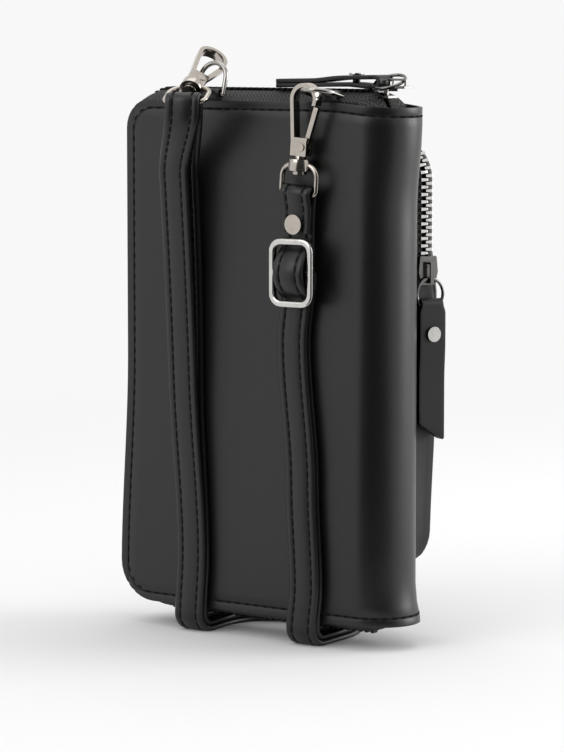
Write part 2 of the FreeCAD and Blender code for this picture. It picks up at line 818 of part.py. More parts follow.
def rivet_rod(radius, extra):
    x, z = strap_right_x, rivet_height
    front = -tail_line - strap_thick / 2 - extra
    back = -outer_line + strap_thick / 2 + extra
    return rod(radius, V(x, front, z), V(x, back, z))


def strap_rivet():
    front = V(strap_right_x, -tail_line - strap_thick / 2 - pin_clearance, rivet_height)
    head = rod(rivet_head_radius, front, front - AXIS_Y * rivet_head_thick)
    return fused([rivet_rod(rivet_shank_radius, pin_clearance), head])


slide_back = tail_line + strap_thick / 2 + fit_gap
slide_middle = slide_back + slide_depth / 2


def strap_slide():
    x0, x1 = strap_right_x - slide_width / 2, strap_right_x + slide_width / 2
    z0, z1 = slide_centre - slide_height / 2, slide_centre + slide_height / 2
    y0, y1 = -slide_back - slide_depth, -slide_back
    inner_corner = slide_corner - slide_bar
    frame = rounded_plate(x0, x1, z0, z1, [slide_corner] * 4, y0, y1)
    window = rounded_plate(
        x0 + slide_bar, x1 - slide_bar, z0 + slide_bar, z1 - slide_bar, [inner_corner] * 4, y0 - overrun, y1 + overrun
    )
    ends = V(x0 + slide_bar / 2, -slide_middle, slide_centre), V(x1 - slide_bar / 2, -slide_middle, slide_centre)
    return frame.cut(window).fuse(rod(slide_centre_bar_radius, *ends)).removeSplitter()


def strap_slide_loop():
    """The strap layer that the slide holds, bulging over its centre bar."""
    bulge = slide_middle + slide_centre_bar_radius + fit_gap + strap_thick / 2
    edge = (slide_height - strap_thick) / 2 - slide_bar - fit_gap
    end = slide_height / 2
    path = [
        line(V(0, -tail_line, slide_centre + end), V(0, -tail_line, slide_centre + edge)),
        arc(
            V(0, -tail_line, slide_centre + edge), V(0, -bulge, slide_centre), V(0, -tail_line, slide_centre - edge)
        ),
        line(V(0, -tail_line, slide_centre - edge), V(0, -tail_line, slide_centre - end)),
    ]
    strip = ribbon(path, strap_thick, V(strap_width, 0, 0))
    return strip.translated(V(strap_right_x - strap_width / 2, 0, 0))


def build():
    back_tape = zip_tape()
    back_skin = cover()
    back_board = cover_board()
    back_lining = cover_lining()
    nodes["back_cover"] = back_skin
    nodes["front_cover"] = mirrored(back_skin)
    nodes["back_board"] = back_board
    nodes["front_board"] = mirrored(back_board)
    nodes["back_lining"] = back_lining
    nodes["front_lining"] = mirrored(back_lining)
    for index in range(card_panel_count):
        nodes["card_panel_%d" % (index + 1)] = card_panel(index)
    nodes["phone_sleeve"] = phone_sleeve()
    nodes["back_zip_tape"] = back_tape
    nodes["front_zip_tape"] = mirrored(back_tape)
    nodes["back_zip_teeth"] = main_teeth(-1, tooth_pitch / 2)
    nodes["front_zip_teeth"] = main_teeth(1, tooth_pitch)

    crown = V(main_slider_start, 0, panel_top + tape_rise)
    nodes["main_slider"] = slider().translated(crown)
    names = ("pull_ring", "pull_tab", "pull_rivet")
    main_pull = pull_pieces(-1, main_pull_length, main_ring_lift, main_pull_upper_splay, main_pull_lower_splay)
    for name, piece in zip(names, main_pull):
        nodes["main_" + name] = piece.translated(crown)

    nodes["pocket_gusset"] = pocket_gusset()
    nodes["pocket_front"] = pocket_front()
    nodes["pocket_back_tape"] = pocket_tape(strip_low, tape_inner)
    nodes["pocket_front_tape"] = pocket_tape(tape_outer, strip_high)
    nodes["pocket_back_teeth"] = pocket_teeth(-1, slider_length + tooth_pitch / 2)
    nodes["pocket_front_teeth"] = pocket_teeth(1, slider_length + tooth_pitch)
    for name, piece in zip(("slider",) + names, [slider()] + pull_pieces(
        1, pocket_pull_length, pocket_ring_lift, pocket_pull_splay, pocket_pull_splay
    )):
        nodes["pocket_" + name] = placed(piece, pocket_slider_point, *pocket_slider_axes)

    ring = d_ring()
    tab = ring_tab()
    for side, x, axes in (("left", left_tab_x, left_ring_axes), ("right", right_tab_x, right_ring_axes)):
        nodes[side + "_d_ring"] = placed(ring, tab_point(x), *axes)
        nodes[side + "_ring_tab"] = tab.translated(tab_point(x))

    for side, at, eye_axes, hook_axes in hooks:
        nodes[side + "_swivel_eye"] = placed(swivel_eye(), at, *eye_axes)
        nodes[side + "_hook_body"] = placed(hook_body(), at, *hook_axes)
        nodes[side + "_hook_gate"] = placed(hook_gate(), at, *hook_axes)
        nodes[side + "_gate_pin"] = placed(gate_pin(), at, *hook_axes)

    left_bar = left_swivel - left_up * eye_drop
    inner_radius = strap_bend_radius - strap_thick - layer_gap
    nodes["strap_left_loop"] = strap_left_loop(left_bar, left_across, left_forward)
    nodes["strap_left_outer"] = strap_run(
        strap_left_x, bulged_top(strap_left_outer_out, strap_left_touch), lower_level, strap_bend_radius
    )
    nodes["strap_left_inner"] = strap_run(
        strap_left_x, bulged_top(strap_left_inner_out, strap_left_settle), upper_level, inner_radius
    )
    nodes["strap_right_outer"] = strap_run(
        strap_right_x, straight_top(strap_right_split - strap_right_overlap), lower_level, strap_bend_radius
    )
    nodes["strap_right_inner"] = strap_run(
        strap_right_x, straight_top(slide_centre), upper_level, inner_radius
    )
    nodes["strap_bight_lower"] = strap_bight(lower_level)
    nodes["strap_bight_upper"] = strap_bight(upper_level)
    nodes["strap_fixed_loop"] = strap_fixed_loop()
    nodes["strap_rivet"] = strap_rivet()
    nodes["strap_slide"] = strap_slide()
    nodes["strap_slide_loop"] = strap_slide_loop()


# Where the pocket slider, the rings and the hooks stand
pocket_out = V(pocket_depth, -pocket_flare, 0) / slope_run
pocket_across = V(pocket_flare, pocket_depth, 0) / slope_run
pocket_slider_axes = (-AXIS_Z, pocket_across, pocket_out)
pocket_slider_point = V(
    pocket_right + pocket_flare * pocket_zip_share, half_depth + pocket_depth * pocket_zip_share,
    pocket_zip_end + slider_length + fit_gap,
)


def ring_axes(direction, tilt):
    """Axes of a D-ring whose bow points along -Y or +Y, lifted by an angle."""
    across = AXIS_X * direction
    bow = V(0, direction * math.cos(math.radians(tilt)), math.sin(math.radians(tilt)))
    return across, bow, across.cross(bow)


left_ring_axes = ring_axes(1, left_ring_tilt)
right_ring_axes = ring_axes(-1, right_ring_tilt)

lean, heading = math.radians(left_hook_lean), math.radians(left_hook_heading)
left_up = V(-math.sin(lean) * math.sin(heading), math.sin(lean) * math.cos(heading), math.cos(lean))
left_across = V(math.cos(heading), math.sin(heading), 0)
left_forward = V(-math.sin(heading), math.cos(heading), 0)
left_swivel = V(left_hook_x, -half_depth - left_hook_standoff, panel_top + left_hook_rise)
turned = FreeCAD.Rotation(left_up, left_hook_turn)
left_eye_axes = (left_across, left_up.cross(left_across), left_up)
left_hook_axes = (turned.multVec(left_eye_axes[0]), turned.multVec(left_eye_axes[1]), left_up)
right_turn = FreeCAD.Rotation(AXIS_Y, right_hook_lean)
right_axes = tuple(right_turn.multVec(axis) for axis in (AXIS_X, AXIS_Y, AXIS_Z))
right_swivel = rivet_point + right_turn.multVec(right_upright - rivet_point)
hooks = (
    ("left", left_swivel, left_eye_axes, left_hook_axes),
    ("right", right_swivel, right_axes, right_axes),
)


build()

# The origin is the middle of the footprint, on the surface that the strap lies on.
whole = Part.makeCompound(list(nodes.values())).optimalBoundingBox(False)
shift = V(-whole.Center.x, -whole.Center.y, -whole.ZMin)
os.makedirs("parts", exist_ok=True)
for name, shape in nodes.items():
    nodes[name] = shape.translated(shift)
    nodes[name].exportStep("parts/%s.step" % name)
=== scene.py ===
import logging
import math
from collections.abc import Callable, Sequence
from dataclasses import dataclass, field
from enum import Enum
from functools import partial

import bmesh
import bpy
from mathutils import Matrix, Vector


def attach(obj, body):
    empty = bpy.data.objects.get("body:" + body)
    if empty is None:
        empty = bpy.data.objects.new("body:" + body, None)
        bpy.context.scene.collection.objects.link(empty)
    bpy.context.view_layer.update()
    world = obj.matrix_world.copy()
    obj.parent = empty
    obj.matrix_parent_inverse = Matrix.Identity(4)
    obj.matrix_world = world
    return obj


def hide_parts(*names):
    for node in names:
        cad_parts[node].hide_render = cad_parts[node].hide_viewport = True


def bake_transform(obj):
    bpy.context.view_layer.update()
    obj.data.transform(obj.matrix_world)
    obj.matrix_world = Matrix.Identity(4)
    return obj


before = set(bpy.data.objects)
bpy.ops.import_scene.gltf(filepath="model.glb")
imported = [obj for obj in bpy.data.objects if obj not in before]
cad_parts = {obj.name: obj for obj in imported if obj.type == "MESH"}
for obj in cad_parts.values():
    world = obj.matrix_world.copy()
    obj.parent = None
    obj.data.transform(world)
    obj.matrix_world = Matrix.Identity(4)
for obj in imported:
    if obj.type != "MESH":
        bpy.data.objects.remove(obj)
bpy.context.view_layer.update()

LOG = logging.getLogger("phone_pouch")
MM = 0.001
# The pouch's own millimetres are measured from its middle; the frame's origin is the middle of its footprint.
FRAME_SHIFT = Vector((2.2556, 2.5696, 0.0))
BACK = Vector((0.0, -1.0, 0.0))
FRONT = -BACK
UP = Vector((0.0, 0.0, 1.0))
RIGHT = Vector((1.0, 0.0, 0.0))
BACK_HALF, FRONT_HALF = "back_half", "front_half"
WEAVE_MAP = "weave"
# In millimetres: how near to each other two points are one, what counts as no length, and how near to a line
# or a rim a point is on it
SAME = 1e-4
TINY = 1e-6
ON_LINE = 0.05
ON_RIM = 0.1
# How many faces a sheet's corner and a softened edge have, and the angles past which an edge is softened
CORNER_FACES, RIM_FACES, NODE_FACES = 8, 3, 2
RIM_ANGLE, NODE_ANGLE = 50.0, 35.0
# Loose corners of a CAD mesh this near to each other, in metres, are joined before its edges are softened.
NODE_WELD = 0.000002
# The share of its width that a thread stands out on each side of its middle
THREAD_RISE = 0.42

Pair = tuple[float, float]
Colour = tuple[float, float, float, float]
Vert, Edge, Face = bmesh.types.BMVert, bmesh.types.BMEdge, bmesh.types.BMFace
Element = Vert | Edge | Face


class Slot(Enum):
    """The record's material slots."""

    LEATHER = "leather"
    STRAP = "strap_leather"
    LINING = "lining"
    BOARD = "board"
    TAPE = "zip_tape"
    SILVER_TEETH = "silver_teeth"
    BLACK_TEETH = "black_teeth"
    GUNMETAL = "gunmetal"
    SILVER = "silver"
    NICKEL = "nickel"


# Shader expressions
class Socket:
    """A number, colour or vector in a node tree that Python's operators can work on."""

    def __init__(self, tree: "NodeTree", socket: bpy.types.NodeSocket) -> None:
        """Wraps one output socket of the tree."""
        self.tree = tree
        self.socket = socket

    def _math(self, operation: str, *values: "Socket | float") -> "Socket":
        """Adds one Math node and returns its result."""
        return self.tree.node("ShaderNodeMath", {"operation": operation}, dict(enumerate(values)))

    def __add__(self, other: "Socket | float") -> "Socket":
        """Sum."""
        return self._math("ADD", self, other)

    def __radd__(self, other: float) -> "Socket":
        """Sum with a number on the left."""
        return self._math("ADD", other, self)

    def __sub__(self, other: "Socket | float") -> "Socket":
        """Difference."""
        return self._math("SUBTRACT", self, other)

    def __rsub__(self, other: float) -> "Socket":
        """Difference from a number on the left."""
        return self._math("SUBTRACT", other, self)

    def __mul__(self, other: "Socket | float") -> "Socket":
        """Product."""
        return self._math("MULTIPLY", self, other)

    def __rmul__(self, other: float) -> "Socket":
        """Product with a number on the left."""
        return self._math("MULTIPLY", other, self)

    def __truediv__(self, other: "Socket | float") -> "Socket":
        """Quotient."""
        return self._math("DIVIDE", self, other)

    def __mod__(self, other: "Socket | float") -> "Socket":
        """Remainder, never negative."""
        return self._math("FLOORED_MODULO", self, other)

    def floor(self) -> "Socket":
        """Whole part."""
        return self._math("FLOOR", self)

    def fraction(self) -> "Socket":
        """What is left above the whole part."""
        return self._math("FRACT", self)

    def size(self) -> "Socket":
        """Absolute value."""
        return self._math("ABSOLUTE", self)

    def root(self) -> "Socket":
        """Square root."""
        return self._math("SQRT", self)

    def at_least(self, other: "Socket | float") -> "Socket":
        """The larger of two."""
        return self._math("MAXIMUM", self, other)

    def at_most(self, other: "Socket | float") -> "Socket":
        """The smaller of two."""
        return self._math("MINIMUM", self, other)

    def step(self, low: float, high: float) -> "Socket":
        """A smooth step from 0 at low to 1 at high."""
        settings = {"interpolation_type": "SMOOTHSTEP"}
        return self.tree.node("ShaderNodeMapRange", settings, {0: self, 1: low, 2: high, 3: 0.0, 4: 1.0})

    def parts(self) -> tuple["Socket", "Socket", "Socket"]:
        """The three parts of a vector."""
        made = self.tree.make("ShaderNodeSeparateXYZ", {}, {0: self})
        return tuple(Socket(self.tree, made.outputs[index]) for index in range(3))


class NodeTree:
    """The node tree of a material or of the world."""

    def __init__(self, tree: bpy.types.NodeTree) -> None:
        """Starts with an empty tree."""
        self.nodes, self.links = tree.nodes, tree.links
        self.nodes.clear()

    def make(self, kind: str, settings: dict, inputs: dict) -> bpy.types.Node:
        """Adds one node.

        Args:
            kind: The node's type.
            settings: Its own settings, which are set first.
            inputs: A value or a link for each socket, by name or by number.

        Returns:
            The node.
        """
        made = self.nodes.new(kind)
        for key, value in settings.items():
            setattr(made, key, value)
        for key, value in inputs.items():
            if isinstance(value, Socket):
                self.links.new(value.socket, made.inputs[key])
            else:
                made.inputs[key].default_value = value
        return made

    def node(self, kind: str, settings: dict, inputs: dict, output: int | str = 0) -> Socket:
        """Adds one node and returns the output that is wanted."""
        return Socket(self, self.make(kind, settings, inputs).outputs[output])


class FinishTree(NodeTree):
    """The node tree of one material."""

    def __init__(self, name: str) -> None:
        """Starts an empty material.

        Args:
            name: The material's name.
        """
        self.material = bpy.data.materials.new(name)
        self.material.use_nodes = True
        super().__init__(self.material.node_tree)

    def place(self) -> Socket:
        """The point on the piece, in metres of the frame."""
        return self.node("ShaderNodeTexCoord", {}, {}, "Object")

    def weave_place(self) -> Socket:
        """The point on the piece's own map, in millimetres."""
        return self.node("ShaderNodeUVMap", {"uv_map": WEAVE_MAP}, {}, "UV")

    def noise(self, where: Socket, scale: float, detail: float, rough: float = 0.5) -> Socket:
        """Cloudy noise between 0 and 1."""
        inputs = {"Vector": where, "Scale": scale, "Detail": detail, "Roughness": rough}
        return self.node("ShaderNodeTexNoise", {}, inputs)

    def cells(self, where: Socket, scale: float) -> Socket:
        """Distance from the nearest edge between pebbled cells."""
        settings = {"feature": "DISTANCE_TO_EDGE"}
        return self.node("ShaderNodeTexVoronoi", settings, {"Vector": where, "Scale": scale}, "Distance")

    def nooks(self, reach: float) -> Socket:
        """How open each point is, from 0 in a tight hollow to 1 on an open face, within a reach in metres."""
        return self.node("ShaderNodeAmbientOcclusion", {"samples": 8}, {"Distance": reach}, "AO")

    def mix(self, share: Socket | float, first: Colour | Socket, second: Colour | Socket) -> Socket:
        """A colour between two others."""
        return self.node("ShaderNodeMix", {"data_type": "RGBA"}, {0: share, 6: first, 7: second}, 2)

    def bump(self, height: Socket, strength: float, distance: float) -> Socket:
        """A surface normal shaped by a height."""
        return self.node("ShaderNodeBump", {}, {"Strength": strength, "Distance": distance, "Height": height})

    def surface(self, inputs: dict) -> bpy.types.Material:
        """Closes the material with one shader.

        Args:
            inputs: The shader's socket values and links.

        Returns:
            The material.
        """
        shader = self.node("ShaderNodeBsdfPrincipled", {}, inputs)
        self.make("ShaderNodeOutputMaterial", {}, {"Surface": shader})
        return self.material


def tint(red: float, green: float, blue: float) -> Colour:
    """An opaque colour."""
    return (red, green, blue, 1.0)


def grey(value: float) -> Colour:
    """An opaque grey."""
    return tint(value, value, value)


# Finishes
class Crease(Enum):
    """Where a leather is pressed in under its stitches, on its own map."""

    NONE = "none"
    ROWS = "two rows along a strip"
    FRAME = "a row round a sheet"


@dataclass(frozen=True)
class LeatherFinish:
    """Smooth coated leather with a fine pebble and a soft, uneven gloss, darker where it is pressed in."""

    name: str
    slot: Slot
    dark: Colour
    light: Colour
    gloss: float
    grain_mm: float
    grain_depth: float
    level: float = 0.35
    crease: Crease = Crease.NONE
    row: float = 0.0
    pitch: float = 3.6
    middle: Pair = (0.0, 0.0)
    half: Pair = (0.0, 0.0)
    corner: float = 0.0

    def pressed(self, tree: FinishTree) -> Socket | float:
        """How far each point lies in the crease.

        Args:
            tree: The material's tree.

        Returns:
            A value from 0 on the plain leather to 1 in the crease.
        """
        if self.crease is Crease.NONE:
            return 0.0
        along, across, _ = tree.weave_place().parts()
        if self.crease is Crease.ROWS:
            gap = (((along / self.pitch).fraction() - 0.5).size() * self.pitch).step(1.15, 1.5)
            return (1.0 - (across.size() - self.row).size().step(0.25, 0.75)) * (1.0 - gap * 0.75)
        x = (along - self.middle[0]).size() - (self.half[0] - self.corner)
        y = (across - self.middle[1]).size() - (self.half[1] - self.corner)
        round_x, round_y = x.at_least(0.0), y.at_least(0.0)
        outside = (round_x * round_x + round_y * round_y).root()
        distance = outside + x.at_least(y).at_most(0.0) - self.corner
        return 1.0 - distance.size().step(0.2, 0.65)

    def material(self) -> bpy.types.Material:
        """The finish as a material.

        Returns:
            The material.
        """
        tree = FinishTree(self.name)
        where = tree.place()
        pressed = self.pressed(tree)
        pebble = tree.cells(where, 1.0 / (self.grain_mm * MM)).step(0.0, 0.35)
        fine = tree.noise(where, scale=2600.0, detail=3.0)
        cloud = tree.noise(where, scale=38.0, detail=3.0, rough=0.6)
        rub = tree.noise(where, scale=160.0, detail=4.0, rough=0.7)
        height = pebble * 0.7 + fine * 0.5 + cloud * 0.9
        worn = rub.step(0.52, 0.85) * 0.25 + cloud * 0.6 + fine * 0.15
        return tree.surface({
            "Base Color": tree.mix(pressed, tree.mix(worn, self.dark, self.light), THREAD),
            "Roughness": self.gloss + cloud * 0.10 + (1.0 - pebble) * 0.06 - rub * 0.05 + pressed * 0.5,
            "Specular IOR Level": self.level,
            "Normal": tree.bump(height, self.grain_depth, 0.00012),
        })


@dataclass(frozen=True)
class ThreadFinish:
    """Waxed sewing thread."""

    name: str
    slot: Slot
    dark: Colour
    light: Colour
    gloss: float

    def material(self) -> bpy.types.Material:
        """The finish as a material.

        Returns:
            The material.
        """
        tree = FinishTree(self.name)
        where = tree.place()
        fine = tree.noise(where, scale=5200.0, detail=2.0)
        strands = fine * 0.6 + tree.noise(where, scale=900.0, detail=2.0) * 0.4
        return tree.surface({
            "Base Color": tree.mix(strands, self.dark, self.light),
            "Roughness": self.gloss + strands * 0.2,
            "Specular IOR Level": 0.12,
            "Normal": tree.bump(strands, 0.5, 0.0001),
        })


@dataclass(frozen=True)
class TapeFinish:
    """Woven zip tape with a herringbone of slanting ribs."""

    name: str
    slot: Slot
    dark: Colour
    light: Colour
    rib_mm: float
    pitch_mm: float

    def material(self) -> bpy.types.Material:
        """The finish as a material.

        Returns:
            The material.
        """
        tree = FinishTree(self.name)
        along, across, _ = tree.weave_place().parts()
        column = (across / self.rib_mm).floor()
        flip = (column % 2.0) * 2.0 - 1.0
        rib = 1.0 - (((along + flip * across) / self.pitch_mm).fraction() * 2.0 - 1.0).size()
        gutter = 1.0 - ((across / self.rib_mm).fraction() * 2.0 - 1.0).size()
        yarn = tree.noise(tree.place(), scale=3800.0, detail=2.0)
        height = rib.step(0.05, 0.9) * 0.8 + gutter.step(0.0, 0.25) * 0.3 + yarn * 0.2
        return tree.surface({
            "Base Color": tree.mix(rib.step(0.2, 1.0) * 0.75 + yarn * 0.25, self.dark, self.light),
            "Roughness": 0.82 - rib * 0.18,
            "Specular IOR Level": 0.3,
            "Normal": tree.bump(height, 0.9, 0.0003),
        })


@dataclass(frozen=True)
class LiningFinish:
    """Thin twill lining with a fine slanting line."""

    name: str
    slot: Slot
    dark: Colour
    light: Colour
    line_mm: float

    def material(self) -> bpy.types.Material:
        """The finish as a material.

        Returns:
            The material.
        """
        tree = FinishTree(self.name)
        where = tree.place()
        x, _, z = where.parts()
        slant = ((x + z) / (self.line_mm * MM)).fraction()
        twill = 1.0 - (slant * 2.0 - 1.0).size()
        thread = ((x - z) / (self.line_mm * MM * 0.7)).fraction()
        yarn = tree.noise(where, scale=1800.0, detail=2.0)
        shade = twill * 0.5 + thread * 0.2 + yarn * 0.3
        return tree.surface({
            "Base Color": tree.mix(shade, self.dark, self.light),
            "Roughness": 0.78 - twill * 0.12,
            "Specular IOR Level": 0.3,
            "Normal": tree.bump(shade, 0.6, 0.0002),
        })


@dataclass(frozen=True)
class BoardFinish:
    """Grey pressed-fibre stiffener."""

    name: str
    slot: Slot
    dark: Colour
    light: Colour

    def material(self) -> bpy.types.Material:
        """The finish as a material.

        Returns:
            The material.
        """
        tree = FinishTree(self.name)
        where = tree.place()
        fibre = tree.noise(where, scale=420.0, detail=6.0, rough=0.75)
        fleck = tree.noise(where, scale=2200.0, detail=2.0).step(0.58, 0.7)
        return tree.surface({
            "Base Color": tree.mix(fibre * 0.8 + fleck * 0.2, self.dark, self.light),
            "Roughness": 0.85 + fibre * 0.1,
            "Normal": tree.bump(fibre, 0.5, 0.0003),
        })


@dataclass(frozen=True)
class MetalFinish:
    """Plated zinc or wire: a bright skin with faint tumbling marks, darker random patches and painted shade
    that darkens its hollows.
    """

    name: str
    slot: Slot
    bright: Colour
    # The dark colour of random patches, which is also painted into the hollows as shade
    film_and_shade: Colour
    gloss: float
    marks: float
    # The reach within which a hollow gets painted shade
    hollow_mm: float = 1.6

    def material(self) -> bpy.types.Material:
        """The finish as a material.

        Returns:
            The material.
        """
        tree = FinishTree(self.name)
        where = tree.place()
        cloud = tree.noise(where, scale=260.0, detail=3.0, rough=0.6)
        scuff = tree.noise(where, scale=3400.0, detail=2.0)
        # Painted shade: where the occlusion finds a hollow or crevice the colour goes dark, as shade would
        # fall there; the cloud and scuff patches are random darker tone.
        hollow = 1.0 - tree.nooks(self.hollow_mm * MM).step(0.25, 0.95)
        film_and_shade = (cloud.step(0.42, 0.78) * 0.2 + scuff * 0.12).at_least(hollow)
        return tree.surface({
            "Base Color": tree.mix(film_and_shade, self.bright, self.film_and_shade),
            "Metallic": 1.0,
            "Roughness": self.gloss + cloud * 0.08 + scuff.step(0.5, 0.8) * 0.06,
            "Normal": tree.bump(scuff + cloud * 2.0, self.marks, 0.00006),
        })


Finish = LeatherFinish | ThreadFinish | TapeFinish | LiningFinish | BoardFinish | MetalFinish

INK, SHEEN = tint(0.0025, 0.0024, 0.0023), tint(0.0055, 0.0053, 0.005)
THREAD, WAX = grey(0.002), grey(0.007)


@dataclass(frozen=True)
class Finishes:
    """Every finish of the pouch."""

    # The sewn frame lies on the flat skin, which is 257.7 mm long and stands from 9.1 to 199.1 mm.
    skin: LeatherFinish = LeatherFinish(
        "smooth_black_leather", Slot.LEATHER, INK, SHEEN, gloss=0.31, grain_mm=0.75, grain_depth=0.10,
        level=0.5, crease=Crease.FRAME, middle=(128.85, 104.1), half=(125.65, 91.8), corner=9.5,
    )
    pocket: LeatherFinish = LeatherFinish(
        "pocket_leather", Slot.LEATHER, INK, SHEEN, gloss=0.34, grain_mm=0.75, grain_depth=0.12, level=0.48,
    )
    pull: LeatherFinish = LeatherFinish(
        "pull_leather", Slot.LEATHER, INK, tint(0.005, 0.0048, 0.0045),
        gloss=0.32, grain_mm=0.8, grain_depth=0.14, level=0.36,
    )
    strap: LeatherFinish = LeatherFinish(
        "strap_leather", Slot.STRAP, INK, SHEEN, gloss=0.34, grain_mm=0.8, grain_depth=0.14, level=0.48,
        crease=Crease.ROWS, row=3.6,
    )
    thread: ThreadFinish = ThreadFinish("waxed_thread", Slot.LEATHER, THREAD, WAX, gloss=0.7)
    strap_thread: ThreadFinish = ThreadFinish("strap_thread", Slot.STRAP, THREAD, WAX, gloss=0.7)
    tape: TapeFinish = TapeFinish(
        "herringbone_tape", Slot.TAPE, grey(0.003), tint(0.052, 0.051, 0.050), rib_mm=1.9, pitch_mm=1.6,
    )
    lining: LiningFinish = LiningFinish(
        "twill_lining", Slot.LINING, tint(0.020, 0.020, 0.021), tint(0.045, 0.045, 0.047), line_mm=0.7,
    )
    card: LeatherFinish = LeatherFinish(
        "card_pocket_leather", Slot.LINING, grey(0.013), grey(0.024),
        gloss=0.46, grain_mm=0.8, grain_depth=0.12,
    )
    board: BoardFinish = BoardFinish(
        "fibre_board", Slot.BOARD, tint(0.10, 0.095, 0.085), tint(0.22, 0.21, 0.19),
    )
    # The second colour of each metal darkens random patches and is also painted as shade into its hollows.
    nickel: MetalFinish = MetalFinish(
        "warm_nickel", Slot.NICKEL, tint(0.52, 0.475, 0.425), tint(0.07, 0.063, 0.056),
        gloss=0.14, marks=0.22,
    )
    silver: MetalFinish = MetalFinish(
        "bright_silver", Slot.SILVER, tint(0.66, 0.645, 0.62), tint(0.14, 0.136, 0.13), gloss=0.11, marks=0.2,
    )
    ring: MetalFinish = MetalFinish(
        "ring_wire", Slot.SILVER, tint(0.40, 0.385, 0.365), tint(0.05, 0.048, 0.046), gloss=0.12, marks=0.2,
    )
    stud: MetalFinish = MetalFinish(
        "bright_stud", Slot.GUNMETAL, tint(0.60, 0.585, 0.56), tint(0.10, 0.097, 0.094),
        gloss=0.14, marks=0.2,
    )
    silver_teeth: MetalFinish = MetalFinish(
        "silver_teeth", Slot.SILVER_TEETH, tint(0.70, 0.69, 0.67), tint(0.03, 0.029, 0.028),
        gloss=0.16, marks=0.25,
    )
    black_teeth: MetalFinish = MetalFinish(
        "black_teeth", Slot.BLACK_TEETH, tint(0.030, 0.030, 0.031), grey(0.012), gloss=0.30, marks=0.3,
    )
    gunmetal: MetalFinish = MetalFinish(
        "gunmetal", Slot.GUNMETAL, tint(0.19, 0.185, 0.18), tint(0.02, 0.0195, 0.019), gloss=0.13, marks=0.25,
    )


FINISHES = Finishes()


class FinishRack:
    """Materials that are already made, one for each finish."""

    made: dict[Finish, bpy.types.Material] = {}

    @classmethod
    def take(cls, finish: Finish) -> bpy.types.Material:
        """The material of a finish, made once.

        Args:
            finish: The finish.

        Returns:
            Its material.
        """
        if finish not in cls.made:
            cls.made[finish] = finish.material()
        return cls.made[finish]


# Modelling bench
def steps(start: float, end: float, count: int) -> list[float]:
    """Evenly spaced values from start to end, both included."""
    return [start + (end - start) * index / (count - 1) for index in range(count)]


def groove_lines(at: float, half: float) -> list[float]:
    """The three lines of a groove: a shoulder, the floor and the other shoulder."""
    return [at - half, at, at + half]


def upright(first: float, second: float, low: float, high: float, y: float = 0.0) -> list[Vector]:
    """The corners of an upright sheet: along its foot from first to second, then up and back."""
    return [Vector((x, y, z)) for x, z in ((first, low), (second, low), (second, high), (first, high))]


def ease(value: float, low: float, high: float) -> float:
    """A smooth step from 0 at low to 1 at high."""
    share = min(max((value - low) / (high - low), 0.0), 1.0)
    return share * share * (3.0 - 2.0 * share)


def between(value: float, stops: Sequence[Pair]) -> float:
    """A smooth curve through a few stops, in rising order.

    Args:
        value: Where to read the curve.
        stops: Pairs of place and height.

    Returns:
        The height there.
    """
    if value <= stops[0][0]:
        return stops[0][1]
    for (low, first), (high, second) in zip(stops, stops[1:]):
        if value <= high:
            return first + (second - first) * ease(value, low, high)
    return stops[-1][1]


def on_corner(travelled: float, centre: Vector, before: Vector, after: Vector) -> tuple[Vector, Vector]:
    """The point and direction at a distance round a corner.

    Args:
        travelled: The distance from the corner's start.
        centre: The corner's centre.
        before: The side that leads to the corner, as a direction times the corner's radius.
        after: The side that leads away from it, given in the same way.

    Returns:
        The point and the direction there.
    """
    angle = travelled / before.length
    cos, sin = math.cos(angle), math.sin(angle)
    return centre - after * cos + before * sin, (before * cos + after * sin).normalized()


def on_side(travelled: float, start: Vector, way: Vector) -> tuple[Vector, Vector]:
    """The point and direction at a distance along a straight side."""
    return start + way * travelled, way


def rounded_walk(
    corners: Sequence[Vector], radii: Sequence[float], pitch: float
) -> list[tuple[Vector, Vector]]:
    """Points and directions at about equal steps round a closed outline with rounded corners.

    Args:
        corners: The corners in turn.
        radii: The rounding of each.
        pitch: The step.

    Returns:
        Pairs of point and direction.
    """
    stretches: list[tuple[float, Callable[[float], tuple[Vector, Vector]]]] = []
    following = [*corners[1:], corners[0]]
    for corner, last, target, radius, next_radius in zip(
        corners, [corners[-1], *corners], following, radii, [*radii[1:], radii[0]],
    ):
        before, after = (corner - last).normalized(), (target - corner).normalized()
        centre = corner - before * radius + after * radius
        start, end = corner + after * radius, target - after * next_radius
        bend = partial(on_corner, centre=centre, before=before * radius, after=after * radius)
        stretches.append((radius * math.pi / 2, bend))
        stretches.append(((end - start).length, partial(on_side, start=start, way=after)))
    total = sum(length for length, _ in stretches)
    number = max(round(total / pitch), 1)
    found = []
    for mark in range(number):
        left = total * mark / number
        for length, walk in stretches:
            if left <= length:
                found.append(walk(left))
                break
            left -= length
    return found


def picked(made: Sequence[Element], kind: type) -> list[Element]:
    """The vertices, edges or faces among what an operator made."""
    return [item for item in made if isinstance(item, kind)]


def into_scene(name: str, mesh: bmesh.types.BMesh) -> bpy.types.Object:
    """Hands a finished mesh over to a new object in the scene.

    Args:
        name: The object's name.
        mesh: The mesh, which is used up.

    Returns:
        The object.
    """
    data = bpy.data.meshes.new(name)
    mesh.to_mesh(data)
    mesh.free()
    made = bpy.data.objects.new(name, data)
    bpy.context.scene.collection.objects.link(made)
    return made


@dataclass(frozen=True)
class Station:
    """A place along a strip: its middle, the way its width runs and the way its face looks."""

    at: Vector
    across: Vector
    face: Vector

    def matrix(self) -> Matrix:
        """The placement of a section drawn with X across and Y towards its face.

        Returns:
            The matrix.
        """
        across = self.across.normalized()
        along = across.cross(self.face).normalized()
        face = along.cross(across)
        turn = Matrix((across, face, along)).transposed().to_4x4()
        return Matrix.Translation(self.at) @ turn


